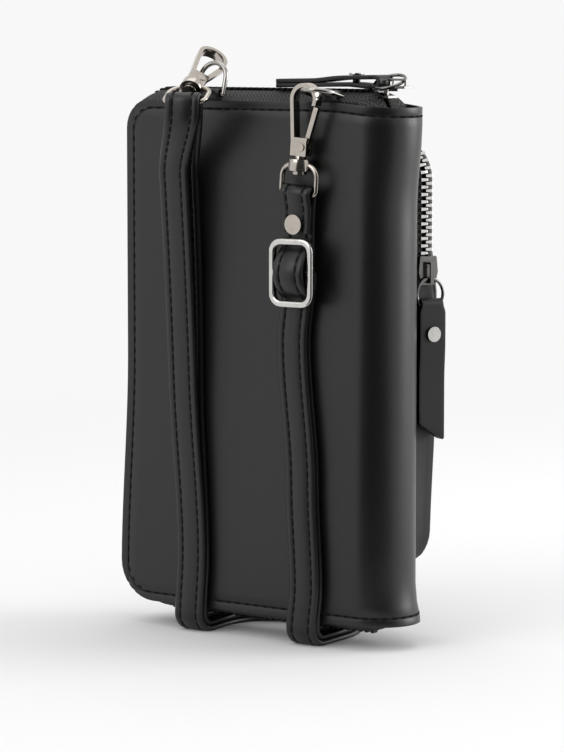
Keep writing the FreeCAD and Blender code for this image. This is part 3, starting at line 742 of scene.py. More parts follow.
class Workpiece:
    """One mesh on the bench, shaped in the pouch's own millimetres and then set into the frame."""

    def __init__(self, name: str) -> None:
        """Starts an empty mesh."""
        self.name = name
        self.mesh = bmesh.new()

    def line(self, points: Sequence[Vector]) -> list[Edge]:
        """A line of edges through a few points."""
        verts = [self.mesh.verts.new(point) for point in points]
        return [self.mesh.edges.new(pair) for pair in zip(verts, verts[1:])]

    def panel(self, points: Sequence[Vector], radii: Sequence[float]) -> None:
        """A flat panel with rounded corners.

        Args:
            points: The corners in turn, seen from the side that looks outwards.
            radii: The corner radii in the same order.
        """
        verts = [self.mesh.verts.new(point) for point in points]
        self.mesh.faces.new(verts)
        for vert, radius in zip(verts, radii):
            if radius > 0:
                self.bevel([vert], radius, "VERTICES", CORNER_FACES)

    def bevel(self, geom: list[Element], radius: float, affect: str, segments: int) -> None:
        """Rounds corners or edges.

        Args:
            geom: The vertices or edges.
            radius: The rounding.
            affect: VERTICES or EDGES, as geom has.
            segments: How many faces the round has.
        """
        bmesh.ops.bevel(
            self.mesh, geom=geom, offset=radius, offset_type="OFFSET", affect=affect,
            segments=segments, profile=0.5, material=-1,
        )

    def pull(self, edges: list[Edge], by: Vector, count: int = 1) -> list[Edge]:
        """Draws a line of edges out into a wall.

        Args:
            edges: The edges to draw out.
            by: How far and which way.
            count: How many steps it takes.

        Returns:
            The far edges.
        """
        for _ in range(count):
            made = bmesh.ops.extrude_edge_only(self.mesh, edges=edges)["geom"]
            bmesh.ops.translate(self.mesh, verts=picked(made, Vert), vec=by / count)
            edges = picked(made, Edge)
        return edges

    def turn(
        self, edges: list[Edge], centre: Vector, axis: Vector, angle: float, count: int
    ) -> list[Edge]:
        """Draws a line of edges round a corner.

        Args:
            edges: The edges to draw round.
            centre: A point on the axis.
            axis: The axis.
            angle: The turn in degrees.
            count: How many steps it takes.

        Returns:
            The far edges.
        """
        verts = list({vert for edge in edges for vert in edge.verts})
        made = bmesh.ops.spin(
            self.mesh, geom=verts + edges, cent=centre, axis=axis, angle=math.radians(angle), steps=count,
            use_merge=False, use_duplicate=False, dvec=Vector(),
        )["geom_last"]
        return picked(made, Edge)

    def draw(self, section: Sequence[Pair], stations: Sequence[Station]) -> None:
        """Draws a closed section along a strip, and lays the strip's own map on it.

        Args:
            section: The section's outline, across and towards the face.
            stations: The places it passes, in order.
        """
        place, travelled = stations[0].matrix(), 0.0
        spread = self.mesh.verts.layers.float_vector.new("spread")
        face = self.mesh.faces.new([self.mesh.verts.new(place @ Vector((x, y, 0.0))) for x, y in section])
        for vert, (x, _) in zip(face.verts, section):
            vert[spread] = Vector((0.0, x, 0.0))
        for station in stations[1:]:
            following = station.matrix()
            travelled += (following.translation - place.translation).length
            made = bmesh.ops.extrude_face_region(self.mesh, geom=[face])["geom"]
            verts = picked(made, Vert)
            for vert in verts:
                vert[spread] = Vector((travelled, (place.inverted() @ vert.co).x, 0.0))
            bmesh.ops.transform(self.mesh, matrix=following @ place.inverted(), verts=verts)
            if station is not stations[1]:
                bmesh.ops.delete(self.mesh, geom=[face], context="FACES_ONLY")
            face, = picked(made, Face)
            place = following
        self.face_alike()
        layer = self.mesh.loops.layers.uv.new(WEAVE_MAP)
        for side in self.mesh.faces:
            for loop in side.loops:
                loop[layer].uv = loop.vert[spread].xy

    def slice(self, normal: Vector, places: Sequence[float]) -> None:
        """Cuts rows of edges across the whole mesh.

        Args:
            normal: The direction that the cuts stand square to.
            places: Their distances along it.
        """
        for place in places:
            geom = self.mesh.verts[:] + self.mesh.edges[:] + self.mesh.faces[:]
            bmesh.ops.bisect_plane(self.mesh, geom=geom, dist=SAME, plane_co=normal * place, plane_no=normal)

    def drop(self, unwanted: Callable[[Vector], bool]) -> None:
        """Cuts away the faces whose middles a test picks out."""
        faces = [face for face in self.mesh.faces if unwanted(face.calc_center_median())]
        bmesh.ops.delete(self.mesh, geom=faces, context="FACES")

    def shape(self, move: Callable[[Vector], Vector]) -> None:
        """Moves every vertex to where a form puts it."""
        for vert in self.mesh.verts:
            vert.co = move(vert.co)

    def join(self, distance: float) -> None:
        """Makes points that lie on each other one, and turns all faces the same way."""
        bmesh.ops.remove_doubles(self.mesh, verts=self.mesh.verts[:], dist=distance)
        self.face_alike()

    def face_alike(self) -> None:
        """Turns all faces the same way."""
        bmesh.ops.recalc_face_normals(self.mesh, faces=self.mesh.faces[:])

    def turn_over(self) -> None:
        """Turns all faces the other way."""
        bmesh.ops.reverse_faces(self.mesh, faces=self.mesh.faces[:])

    def stitch(self, at: Vector, along: Vector, out: Vector, length: float, width: float) -> None:
        """Sews one plump stitch, half sunk in the surface.

        Args:
            at: Its middle.
            along: The way it runs.
            out: The way the surface looks.
            length: Its length.
            width: Its thread's width.
        """
        along = along.normalized()
        side = out.cross(along).normalized()
        turn = Matrix((along, side, along.cross(side))).transposed().to_4x4()
        size = Matrix.Diagonal((length / 2, width / 2, width * THREAD_RISE, 1.0))
        place = Matrix.Translation(at) @ turn @ size
        bmesh.ops.create_icosphere(self.mesh, subdivisions=1, radius=1.0, matrix=place)

    def map(self, spread: Callable[[Vector], Pair]) -> None:
        """Lays the piece's own map on it.

        Args:
            spread: Where a point lies on the map, in millimetres.
        """
        layer = self.mesh.loops.layers.uv.new(WEAVE_MAP)
        for face in self.mesh.faces:
            for loop in face.loops:
                loop[layer].uv = spread(loop.vert.co)

    def settle(
        self, finish: Finish, body: str | None, replaced: Sequence[str] = (), wall: float = 0.0,
        rim: float = 0.0, side: float = -1.0, sharp: float = 40.0,
    ) -> bpy.types.Object:
        """Sets the piece into the frame and dresses it.

        Args:
            finish: Its finish.
            body: The body it rides on, or None to leave it on no body.
            replaced: The CAD nodes that it stands for.
            wall: The thickness that a sheet gets.
            rim: The rounding of its edges.
            side: Which side of the sheet the thickness goes to, -1 inwards and 0 both.
            sharp: The angle past which an edge stays sharp.

        Returns:
            The object.
        """
        bmesh.ops.translate(self.mesh, verts=self.mesh.verts[:], vec=FRAME_SHIFT)
        bmesh.ops.scale(self.mesh, verts=self.mesh.verts[:], vec=Vector((MM, MM, MM)))
        piece = into_scene(self.name, self.mesh)
        if wall > 0:
            sheet = piece.modifiers.new("wall", "SOLIDIFY")
            sheet.thickness, sheet.offset, sheet.use_even_offset = wall * MM, side, True
        if rim > 0:
            soften(piece, "rim", rim, RIM_FACES, RIM_ANGLE)
        if piece.modifiers:
            bare = piece.data
            finished = piece.evaluated_get(bpy.context.evaluated_depsgraph_get())
            shaped = bpy.data.meshes.new_from_object(finished)
            piece.modifiers.clear()
            piece.data = shaped
            bpy.data.meshes.remove(bare)
        piece.data.shade_smooth()
        piece.data.set_sharp_from_angle(angle=math.radians(sharp))
        piece.data.materials.clear()
        piece.data.materials.append(FinishRack.take(finish))
        if body is not None:
            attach(piece, body)
        if replaced:
            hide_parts(*replaced)
        LOG.info("%s: %d faces", self.name, len(piece.data.polygons))
        return piece


def soften(piece: bpy.types.Object, name: str, radius: float, segments: int, angle: float) -> None:
    """Rounds a piece's sharp edges by a modifier.

    Args:
        piece: The piece.
        name: The modifier's name.
        radius: The rounding in millimetres.
        segments: How many faces the round has.
        angle: The angle in degrees past which an edge is rounded.
    """
    edge = piece.modifiers.new(name, "BEVEL")
    edge.width, edge.segments, edge.limit_method = radius * MM, segments, "ANGLE"
    edge.angle_limit, edge.use_clamp_overlap = math.radians(angle), True


def dress_nodes(finish: Finish, names: Sequence[str], round_mm: float = 0.0) -> None:
    """Gives CAD pieces that stay their finish, and rounds their edges where asked.

    Args:
        finish: The finish.
        names: The CAD nodes.
        round_mm: The rounding of their edges.
    """
    for name in names:
        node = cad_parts[name]
        if not node.material_slots:
            node.data.materials.append(None)
        for slot in node.material_slots:
            slot.link = "OBJECT"
            slot.material = FinishRack.take(finish)
        if round_mm > 0:
            joined = node.modifiers.new("joined", "WELD")
            joined.merge_threshold = NODE_WELD
            soften(node, "edge", round_mm, NODE_FACES, NODE_ANGLE)
        LOG.info("%s: %s", name, finish.name)


# Sub-assemblies
class SubAssembly:
    """A group of pieces that are made together and then dressed."""

    def build(self) -> None:
        """Models the group's own pieces, where it has any."""

    def dress(self) -> None:
        """Gives the CAD pieces that the group keeps their finishes."""


@dataclass
class Covers(SubAssembly):
    """The one outer skin that goes round the spine, its boards and its linings."""

    left: float = -60.0
    axis: float = 44.5
    half: float = 15.5
    bottom: float = 9.1
    top: float = 199.1
    corner_bottom: float = 15.0
    corner_top: float = 11.0
    skin: float = 1.2
    rim: float = 0.5
    dip: float = 2.0
    dip_start: float = 30.5
    dip_span: Pair = (0.5, 1.0)
    flare: float = 3.6
    flare_start: float = 20.0
    flare_span: Pair = (0.5, 0.95)
    waist: float = 2.4
    waist_top: Pair = (0.03, 0.2)
    waist_foot: Pair = (0.0, 0.06)
    groove: float = 0.7
    groove_depth: float = 0.3
    stitch_inset: float = 3.2
    stitch_pitch: float = 4.0
    stitch: float = 2.8
    thread: float = 0.85
    thread_sunk: float = 0.15
    hinge_reach: float = 3.0
    hinge_height: float = 100.0
    lining_inside: float = 12.7
    lining: float = 0.6
    lining_inset: float = 1.0
    lining_corner: float = 6.0
    lining_rim: float = 0.2
    margin: float = 8.0
    edge_margin: float = 7.0
    # How far to both sides the skin's own way is felt out
    probe: float = 0.2
    stitch_probe: float = 0.3
    # How many lines are cut across a cover, round the spine and up the skin, and across and up a lining
    cover_lines: int = 16
    spine_lines: int = 33
    rows: int = 26
    lining_lines: int = 12
    lining_rows: int = 18

    def run(self) -> float:
        """Length of one flat cover from its open edge to the spine."""
        return self.axis - self.left

    def spine(self) -> float:
        """Length of the skin round the spine."""
        return math.pi * self.half

    def length(self) -> float:
        """Length of the whole skin when it lies flat."""
        return 2 * self.run() + self.spine()

    def share(self, z: float) -> float:
        """A height as a share of the cover's own."""
        return (z - self.bottom) / (self.top - self.bottom)

    def wrap(self, flat: Vector) -> Vector:
        """Takes a point of the flat skin to its place round the pouch.

        Args:
            flat: The point, X along the skin and Z up; Y is how far it lies inside the skin's face.

        Returns:
            The point on the pouch.
        """
        run, spine, half = self.run(), self.spine(), self.half
        radius = half - flat.y
        if flat.x <= run:
            x, y = self.left + flat.x, -radius
        elif flat.x <= run + spine:
            angle = (flat.x - run) / half
            x, y = self.axis + radius * math.sin(angle), -radius * math.cos(angle)
        else:
            x, y = self.axis - (flat.x - run - spine), radius
        share = self.share(flat.z)
        flare = self.flare * ease(1.0 - share, *self.flare_span) * ease(-x, -self.flare_start, -self.left)
        x -= flare + self.drawn_in(x, flat.z)
        drop = self.dip * ease(x, self.dip_start, self.axis + half)
        return Vector((x, y, flat.z - drop * ease(share, *self.dip_span)))

    def drawn_in(self, x: float, z: float) -> float:
        """How far the spine is drawn in between its two ends."""
        ends = ease(1 - self.share(z), *self.waist_top) * ease(self.share(z), *self.waist_foot)
        return self.waist * ease(x, self.axis, self.axis + self.half) * ends

    def way(self, flat: Vector, along: Vector) -> Vector:
        """How the skin runs at a point of its flat layout, along a short way to both sides."""
        return self.wrap(flat + along) - self.wrap(flat - along)

    def outward(self, flat: Vector) -> Vector:
        """The way the skin looks at a point of its flat layout."""
        return self.way(flat, RIGHT * self.probe).cross(self.way(flat, UP * self.probe)).normalized()

    def sewn(self, flat: Vector) -> Vector:
        """Takes a point of the flat skin round the pouch, and sinks it where it lies on the sewn line.

        Args:
            flat: The point of the flat skin.

        Returns:
            The point on the pouch.
        """
        inset = self.stitch_inset
        low, high, far = self.bottom + inset, self.top - inset, self.length() - inset
        by_row = min(abs(flat.z - low), abs(flat.z - high)) < ON_LINE
        by_column = min(abs(flat.x - inset), abs(flat.x - far)) < ON_LINE
        on_row = by_row and inset - ON_RIM <= flat.x <= far + ON_RIM
        on_column = by_column and low <= flat.z <= high
        return self.wrap(flat + FRONT * (self.groove_depth if on_row or on_column else 0.0))

    def build(self) -> None:
        """Models the skin, its stitching and the linings."""
        self.build_skin()
        self.build_stitches()
        self.build_lining("back_lining", -1.0, BACK_HALF)
        self.build_lining("front_lining", 1.0, FRONT_HALF)

    def build_skin(self) -> None:
        """One sheet with rounded corners, folded round the spine."""
        piece = Workpiece("outer_skin")
        low, high, far = self.bottom, self.top, self.length()
        radii = [self.corner_bottom, self.corner_bottom, self.corner_top, self.corner_top]
        piece.panel(upright(0.0, far, low, high), radii)
        run, inset, edge = self.run(), self.stitch_inset, self.edge_margin
        cover = groove_lines(inset, self.groove) + steps(self.margin, run, self.cover_lines)
        spine = steps(run, run + self.spine(), self.spine_lines)[1:]
        piece.slice(RIGHT, cover + spine + [far - place for place in cover[:-1]])
        seams = groove_lines(low + inset, self.groove) + groove_lines(high - inset, self.groove)
        piece.slice(UP, seams + steps(low + edge, high - edge, self.rows))
        piece.map(lambda flat: (flat.x, flat.z))
        piece.shape(self.sewn)
        skin = piece.settle(FINISHES.skin, None, ("back_cover", "front_cover"), wall=self.skin, rim=self.rim)
        hinge, height = (self.axis + self.half + FRAME_SHIFT.x) * MM, self.hinge_height * MM
        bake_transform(skin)

    def build_stitches(self) -> None:
        """The row of stitches inside the folded edge, on each half and across the spine."""
        inset = self.stitch_inset
        low, high, far = self.bottom + inset, self.top - inset, self.length() - inset
        radii = [self.corner_bottom - inset] * 2 + [self.corner_top - inset] * 2
        rows = {BACK_HALF: Workpiece("back_edge_stitching"), FRONT_HALF: Workpiece("front_edge_stitching")}
        for at, along in rounded_walk(upright(inset, far, low, high), radii, self.stitch_pitch):
            place, out = self.wrap(at), self.outward(at)
            way = self.way(at, along * self.stitch_probe)
            row = rows[BACK_HALF if place.y < 0 else FRONT_HALF]
            row.stitch(place - out * self.thread_sunk, way, out, self.stitch, self.thread)
        for body, row in rows.items():
            row.settle(FINISHES.thread, body)

    def build_lining(self, name: str, side: float, body: str) -> None:
        """One lining sheet on the inner face of a cover.

        Args:
            name: The CAD node that it stands for.
            side: -1 at the back and 1 at the front.
            body: The body it rides on.
        """
        piece = Workpiece(name + "_cloth")
        inset, margin = self.lining_inset, self.margin
        x0, x1 = self.left + inset, self.axis
        z0, z1 = self.bottom + inset, self.top - inset - self.dip
        ring = upright(x1, x0, z0, z1, side * self.lining_inside)
        radii = [self.lining_corner, self.corner_bottom - inset, self.corner_top - inset, self.lining_corner]
        if side > 0:
            ring.reverse()
            radii.reverse()
        piece.panel(ring, radii)
        piece.slice(RIGHT, steps(x0 + margin, x1 - margin, self.lining_lines))
        piece.slice(UP, steps(z0 + margin, z1 - margin, self.lining_rows))
        piece.settle(FINISHES.lining, body, (name,), wall=self.lining, rim=self.lining_rim)

    def dress(self) -> None:
        """Gives the stiffener boards their finish."""
        dress_nodes(FINISHES.board, ["back_board", "front_board"])


@dataclass
class InsidePockets(SubAssembly):
    """The stepped card panels on the back and the phone sleeve on the front."""

    covers: Covers
    panel_count: int = 4
    panel: float = 0.8
    panel_gap: float = 0.02
    inset: float = 10.0
    height: float = 140.0
    step: float = 20.0
    corner: float = 6.0
    margin: float = 7.0
    rim: float = 0.25
    seam: float = 2.6
    groove: float = 0.4
    groove_depth: float = 0.18
    stitch: float = 2.5
    stitches: int = 24
    stitch_start: float = 3.0
    thread: float = 0.6
    thread_sunk: float = 0.06
    sleeve: float = 0.8
    sleeve_inset: float = 12.0
    sleeve_height: float = 150.0
    sleeve_room: float = 9.9
    sleeve_round: float = 2.2
    sleeve_margin: float = 8.0
    sleeve_stitches: int = 22
    sleeve_stitch_start: float = 4.0
    # How many lines are cut across and up a panel and the sleeve, and how many faces the sleeve's edges have
    lines: int = 12
    rows: int = 10
    sleeve_lines: int = 10
    sleeve_rows: int = 12
    sleeve_faces: int = 4

    def build(self) -> None:
        """Models the card panels and the sleeve."""
        for number in range(1, self.panel_count + 1):
            self.build_panel(number)
        self.build_sleeve()

    def build_panel(self, number: int) -> None:
        """One card panel with a turned top edge, and its row of stitches.

        Args:
            number: Its place, counted from the lining.
        """
        covers, margin = self.covers, self.margin
        face = -(covers.lining_inside - number * self.panel)
        x0, x1 = covers.left + self.inset, covers.axis - self.inset / 2
        z0 = covers.bottom + self.inset
        z1 = z0 + self.height - (number - 1) * self.step
        seam = z1 - self.seam
        name = "card_panel_%d" % number
        piece = Workpiece(name + "_leather")
        piece.panel(upright(x1, x0, z0, z1, face), [self.corner, self.corner, 0, 0])
        piece.slice(RIGHT, steps(x0 + margin, x1 - margin, self.lines))
        piece.slice(UP, steps(z0 + margin, z1 - margin, self.rows) + groove_lines(seam, self.groove))
        piece.shape(lambda co: co + BACK * (self.groove_depth if abs(co.z - seam) < ON_LINE else 0.0))
        piece.settle(FINISHES.card, BACK_HALF, (name,), wall=self.panel - self.panel_gap, rim=self.rim)
        start = Vector((x0 + self.stitch_start, face - self.thread_sunk, seam))
        end = x1 - self.stitch_start
        self.sew(name + "_stitching", start, end, self.stitches, FRONT, BACK_HALF)

    def sew(self, name: str, start: Vector, end: float, count: int, out: Vector, body: str) -> None:
        """A level row of stitches under a pocket's open edge.

        Args:
            name: The row's name.
            start: Its first stitch.
            end: Where its last stitch lies from left to right.
            count: How many stitches it has.
            out: The way the leather looks.
            body: The body it rides on.
        """
        row = Workpiece(name)
        for x in steps(start.x, end, count):
            row.stitch(Vector((x, start.y, start.z)), RIGHT, out, self.stitch, self.thread)
        row.settle(FINISHES.thread, body)

    def build_sleeve(self) -> None:
        """The open-topped phone sleeve, a soft tray with rounded edges, and its row of stitches."""
        covers, margin = self.covers, self.sleeve_margin
        x0, x1 = covers.left + self.sleeve_inset, covers.axis - self.sleeve_inset / 2
        z0 = covers.bottom + self.sleeve_inset
        z1 = z0 + self.sleeve_height
        far = covers.lining_inside
        near = far - self.sleeve_room - self.sleeve
        seam = z1 - self.seam
        piece = Workpiece("phone_sleeve_leather")
        middle = Vector(((x0 + x1) / 2, (near + far) / 2, (z0 + z1) / 2))
        size = Matrix.Diagonal((x1 - x0, far - near, z1 - z0, 1.0))
        bmesh.ops.create_cube(piece.mesh, size=1.0, matrix=Matrix.Translation(middle) @ size)
        piece.drop(lambda co: co.z > z1 - ON_RIM or co.y > far - ON_RIM)
        creases = [edge for edge in piece.mesh.edges if len(edge.link_faces) == 2]
        piece.bevel(creases, self.sleeve_round, "EDGES", self.sleeve_faces)
        piece.slice(UP, steps(z0 + margin, z1 - margin, self.sleeve_rows) + groove_lines(seam, self.groove))
        piece.slice(RIGHT, steps(x0 + margin, x1 - margin, self.sleeve_lines))
        piece.settle(FINISHES.card, FRONT_HALF, ("phone_sleeve",), wall=self.sleeve, rim=self.rim)
        start, end = Vector((x0 + self.sleeve_stitch_start, near, seam)), x1 - self.sleeve_stitch_start
        self.sew("phone_sleeve_stitching", start, end, self.sleeve_stitches, BACK, FRONT_HALF)


@dataclass
class ZipPull(SubAssembly):
    """A folded leather pull on a ring, with its rivet. Its name is also that of its body."""

    name: str
    origin: Vector
    along: Vector
    across: Vector
    length: float
    ring_lift: float
    splay: float = 0.0
    slant: float = 0.0
    slant_reach: float = 8.0
    width: float = 11.0
    corner: float = 1.6
    rim: float = 0.35
    margin: float = 1.2
    end_margin: float = 4.0
    fold_margin: float = 2.0
    cut_gap: float = 1.0
    neck: float = 9.2
    neck_reach: Pair = (-0.2, 3.2)
    leather: float = 1.6
    fold: float = 1.7
    upper_close: Pair = (14.0, 28.0)
    lower_close: Pair = (1.0, 12.0)
    crest: float = 1.9
    ring_radius: float = 5.7
    ring_wire: float = 0.6
    ring_roll: float = 0.0
    rivet_round: float = 0.35
    # How many lines are cut across each leg and the fold, and how many faces go round the wire and the ring
    leg_lines: int = 11
    fold_lines: int = 19
    wire_faces: int = 14
    ring_faces: int = 48

    def arc(self) -> float:
        """Length of the strip round the fold."""
        return math.pi * self.fold

    def up(self) -> Vector:
        """The way the pull's upper face looks."""
        return self.along.cross(self.across)

    def build(self) -> None:
        """Models the folded strip."""
        arc, half, margin = self.arc(), self.width / 2, self.margin
        total = 2 * self.length + arc
        piece = Workpiece(self.name + "_tab_leather")
        ring = [(0.0, -half), (total, -half), (total, half), (0.0, half)]
        piece.panel([Vector((x, y, 0.0)) for x, y in ring], [self.corner] * 4)
        start, end = self.length - self.fold_margin, self.length + arc + self.fold_margin
        piece.slice(RIGHT, steps(self.end_margin, start - self.cut_gap, self.leg_lines))
        piece.slice(RIGHT, steps(start, end, self.fold_lines))
        piece.slice(RIGHT, steps(end + self.cut_gap, total - self.end_margin, self.leg_lines))
        piece.slice(FRONT, [-half + margin, 0.0, half - margin])
        piece.shape(self.wrap)
        piece.face_alike()
        piece.settle(
            FINISHES.pull, self.name, (self.name + "_tab",), wall=self.leather, rim=self.rim, side=0.0,
        )

    def wrap(self, flat: Vector) -> Vector:
        """Takes a point of the flat strip to its place round the ring.

        Args:
            flat: The point, X along the strip and Y across it.

        Returns:
            The point on the folded pull.
        """
        arc, lift = self.arc(), math.radians(self.ring_lift)
        reach = 2 * self.ring_radius - self.crest
        bent = abs(flat.x - self.length - arc / 2) - arc / 2
        y = flat.y * (1.0 - (1.0 - self.neck / self.width) * (1.0 - ease(bent, *self.neck_reach)))
        closed = self.fold - self.leather / 2
        if flat.x <= self.length:
            x = self.length - flat.x
            z = self.fold - closed * ease(x, *self.upper_close) + self.splay * x / self.length
        elif flat.x <= self.length + arc:
            angle = (flat.x - self.length) / self.fold
            x, z = -self.fold * math.sin(angle), self.fold * math.cos(angle)
        else:
            x = flat.x - self.length - arc
            z = closed * ease(x, *self.lower_close) - self.fold + self.splay * x / self.length
        x -= self.slant * ease(x, self.length - self.slant_reach, self.length) * (0.5 - flat.y / self.width)
        forward = self.along * (reach * math.cos(lift) + x)
        return self.origin + forward + self.across * y + self.up() * (reach * math.sin(lift) + z)

    def build_ring(self) -> None:
        """The wire ring, rolled over in the fold as it lies."""
        lie = Matrix.Rotation(-math.radians(self.ring_lift), 3, self.across) @ self.along
        axis = Matrix.Rotation(math.radians(self.ring_roll), 3, lie) @ self.up()
        middle = self.origin + lie * self.ring_radius
        piece = Workpiece(self.name + "_wire")
        turn = Matrix((lie, axis, lie.cross(axis))).transposed().to_4x4()
        place = Matrix.Translation(middle + lie * self.ring_radius) @ turn
        made = bmesh.ops.create_circle(
            piece.mesh, cap_ends=False, radius=self.ring_wire, segments=self.wire_faces, matrix=place,
        )["verts"]
        edges = list({edge for vert in made for edge in vert.link_edges})
        bmesh.ops.spin(
            piece.mesh, geom=made + edges, cent=middle, axis=axis, angle=math.tau, steps=self.ring_faces,
            use_merge=True, use_duplicate=False, dvec=Vector(),
        )
        piece.face_alike()
        piece.settle(FINISHES.gunmetal, self.name, (self.name + "_ring",))

    def dress(self) -> None:
        """Makes or keeps the ring, and gives the ring and the rivet their finishes."""
        if self.ring_roll:
            self.build_ring()
        else:
            dress_nodes(FINISHES.gunmetal, [self.name + "_ring"])
        dress_nodes(FINISHES.stud, [self.name + "_rivet"], round_mm=self.rivet_round)


@dataclass
class MainZip(SubAssembly):
    """The domed tape round three sides and its teeth."""

    covers: Covers
    hem: float = 14.25
    hem_depth: float = 6.0
    rise: float = 3.4
    parting: float = 1.3
    tape: float = 0.6
    slot_end: float = 48.8
    end_turn: float = 85.59
    tuck_start: float = 45.0
    tuck_span: float = 6.0
    tuck_depth: float = 7.5
    bridge: Vector = field(default_factory=lambda: Vector((54.7, 0.0, 205.75)))
    tooth_round: float = 0.16
    slider_round: float = 0.28
    # The weave's map: where the lower run and the lower end start along it, and how fast it goes round an end
    weave_low: float = 275.0
    weave_end: float = 400.0
    weave_turn: float = 9.0
    # How many lines the dome has, and how many faces go round the corners and the ends
    dome_lines: int = 10
    top_faces: int = 8
    bottom_faces: int = 10
    end_faces: int = 8

    def middle(self) -> float:
        """The height half way up the covers."""
        return (self.covers.top + self.covers.bottom) / 2

    def profile(self, side: float) -> list[Pair]:
        """The tape's section, from its hem to its teeth.

        Args:
            side: -1 at the back and 1 at the front.

        Returns:
            How far outside the seam each point lies, and where across the pouch.
        """
        span = self.hem - self.parting
        radius = (self.rise ** 2 + span ** 2) / (2 * self.rise)
        centre = self.rise - radius
        dome = [
            (centre + math.sqrt(radius ** 2 - (y - self.parting) ** 2), side * y)
            for y in steps(self.hem, self.parting, self.dome_lines)
        ]
        return [(-self.hem_depth, side * self.hem), (-self.hem_depth / 2, side * self.hem)] + dome

    def pull(self) -> ZipPull:
        """The pull that lies along the top.

        Returns:
            The pull, with its ring rolled open.
        """
        return ZipPull(
            "main_pull", self.bridge, along=-RIGHT, across=BACK, length=43.9,
            ring_lift=3.0, ring_roll=-24.0, splay=-0.9,
        )

    def build(self) -> None:
        """Models both tapes."""
        self.build_tape("back_zip_tape", -1.0, BACK_HALF)
        self.build_tape("front_zip_tape", 1.0, FRONT_HALF)

    def build_tape(self, name: str, side: float, body: str) -> None:
        """One tape, drawn along the top, the open side and the bottom, with a dome at each end.

        Args:
            name: The CAD node that it stands for.
            side: -1 at the back and 1 at the front.
            body: The body it rides on.
        """
        covers = self.covers
        piece = Workpiece(name + "_cloth")
        axis, top, bottom = covers.axis, covers.top, covers.bottom
        upper_x, upper_z = covers.left + covers.corner_top, top - covers.corner_top
        lower_x, lower_z = covers.left + covers.corner_bottom, bottom + covers.corner_bottom
        first = line = piece.line([Vector((axis, y, top + out)) for out, y in self.profile(side)])
        line = piece.pull(line, RIGHT * (upper_x - axis))
        line = piece.turn(line, Vector((upper_x, 0, upper_z)), BACK, 90.0, self.top_faces)
        line = piece.pull(line, UP * (lower_z - upper_z))
        line = piece.turn(line, Vector((lower_x, 0, lower_z)), BACK, 90.0, self.bottom_faces)
        line = piece.pull(line, RIGHT * (axis - lower_x))
        for end in (first, line):
            piece.turn(end, Vector((axis, 0, 0)), UP, -side * self.end_turn, self.end_faces)
        piece.join(SAME)
        highest = max(piece.mesh.faces, key=lambda face: face.calc_center_median().z)
        if highest.normal.dot(highest.calc_center_median() - Vector((axis / 2, 0, self.middle()))) < 0:
            piece.turn_over()
        piece.slice(RIGHT, [self.slot_end])
        piece.slice(BACK, [self.parting, -self.parting])
        slot, parting = (axis - ON_RIM, self.slot_end), self.parting
        piece.drop(lambda co: slot[0] < co.x < slot[1] and abs(co.y) < parting and co.z > top)
        piece.map(self.spread)
        piece.shape(self.tuck)
        piece.settle(FINISHES.tape, body, (name,), wall=self.tape)

    def tuck(self, co: Vector) -> Vector:
        """Takes the tape's ends into the spine.

        Args:
            co: A point on the tape.

        Returns:
            The point where it lies.
        """
        inwards = -1.0 if co.z > self.middle() else 1.0
        deep = self.tuck_depth * ease(co.x, self.tuck_start, self.tuck_start + self.tuck_span)
        tucked = co + UP * (inwards * deep)
        return tucked - RIGHT * self.covers.drawn_in(tucked.x, tucked.z)

    def spread(self, co: Vector) -> Pair:
        """The weave's own map.

        Args:
            co: A point on the tape.

        Returns:
            How far it lies along the seam, and across the tape and down its hem.
        """
        covers = self.covers
        upper = co.z > self.middle()
        hem = max(covers.top - co.z if upper else co.z - covers.bottom, 0.0)
        if co.x > covers.axis:
            around = math.atan2(co.x - covers.axis, abs(co.y) + TINY) * self.weave_turn
            along = -around if upper else self.weave_end + around
            return (along, math.hypot(co.x - covers.axis, co.y) + hem)
        corner, corner_x = covers.corner_top, covers.left + covers.corner_top
        if co.z > covers.top - corner:
            bend = math.atan2(max(corner_x - co.x, 0), co.z - covers.top + corner + self.hem_depth)
            along = min(covers.axis - co.x, covers.run() - corner) + bend * corner
            return (along, abs(co.y) + (hem if co.x > corner_x else 0.0))
        if co.z < covers.bottom + covers.corner_bottom:
            return (co.x - covers.left + self.weave_low, abs(co.y))
        return (covers.run() + covers.top - co.z, abs(co.y) + max(co.x - covers.left, 0.0))

    def dress(self) -> None:
        """Gives the teeth and the slider their finishes."""
        dress_nodes(FINISHES.black_teeth, ["back_zip_teeth", "front_zip_teeth"], round_mm=self.tooth_round)
        dress_nodes(FINISHES.gunmetal, ["main_slider"], round_mm=self.slider_round)


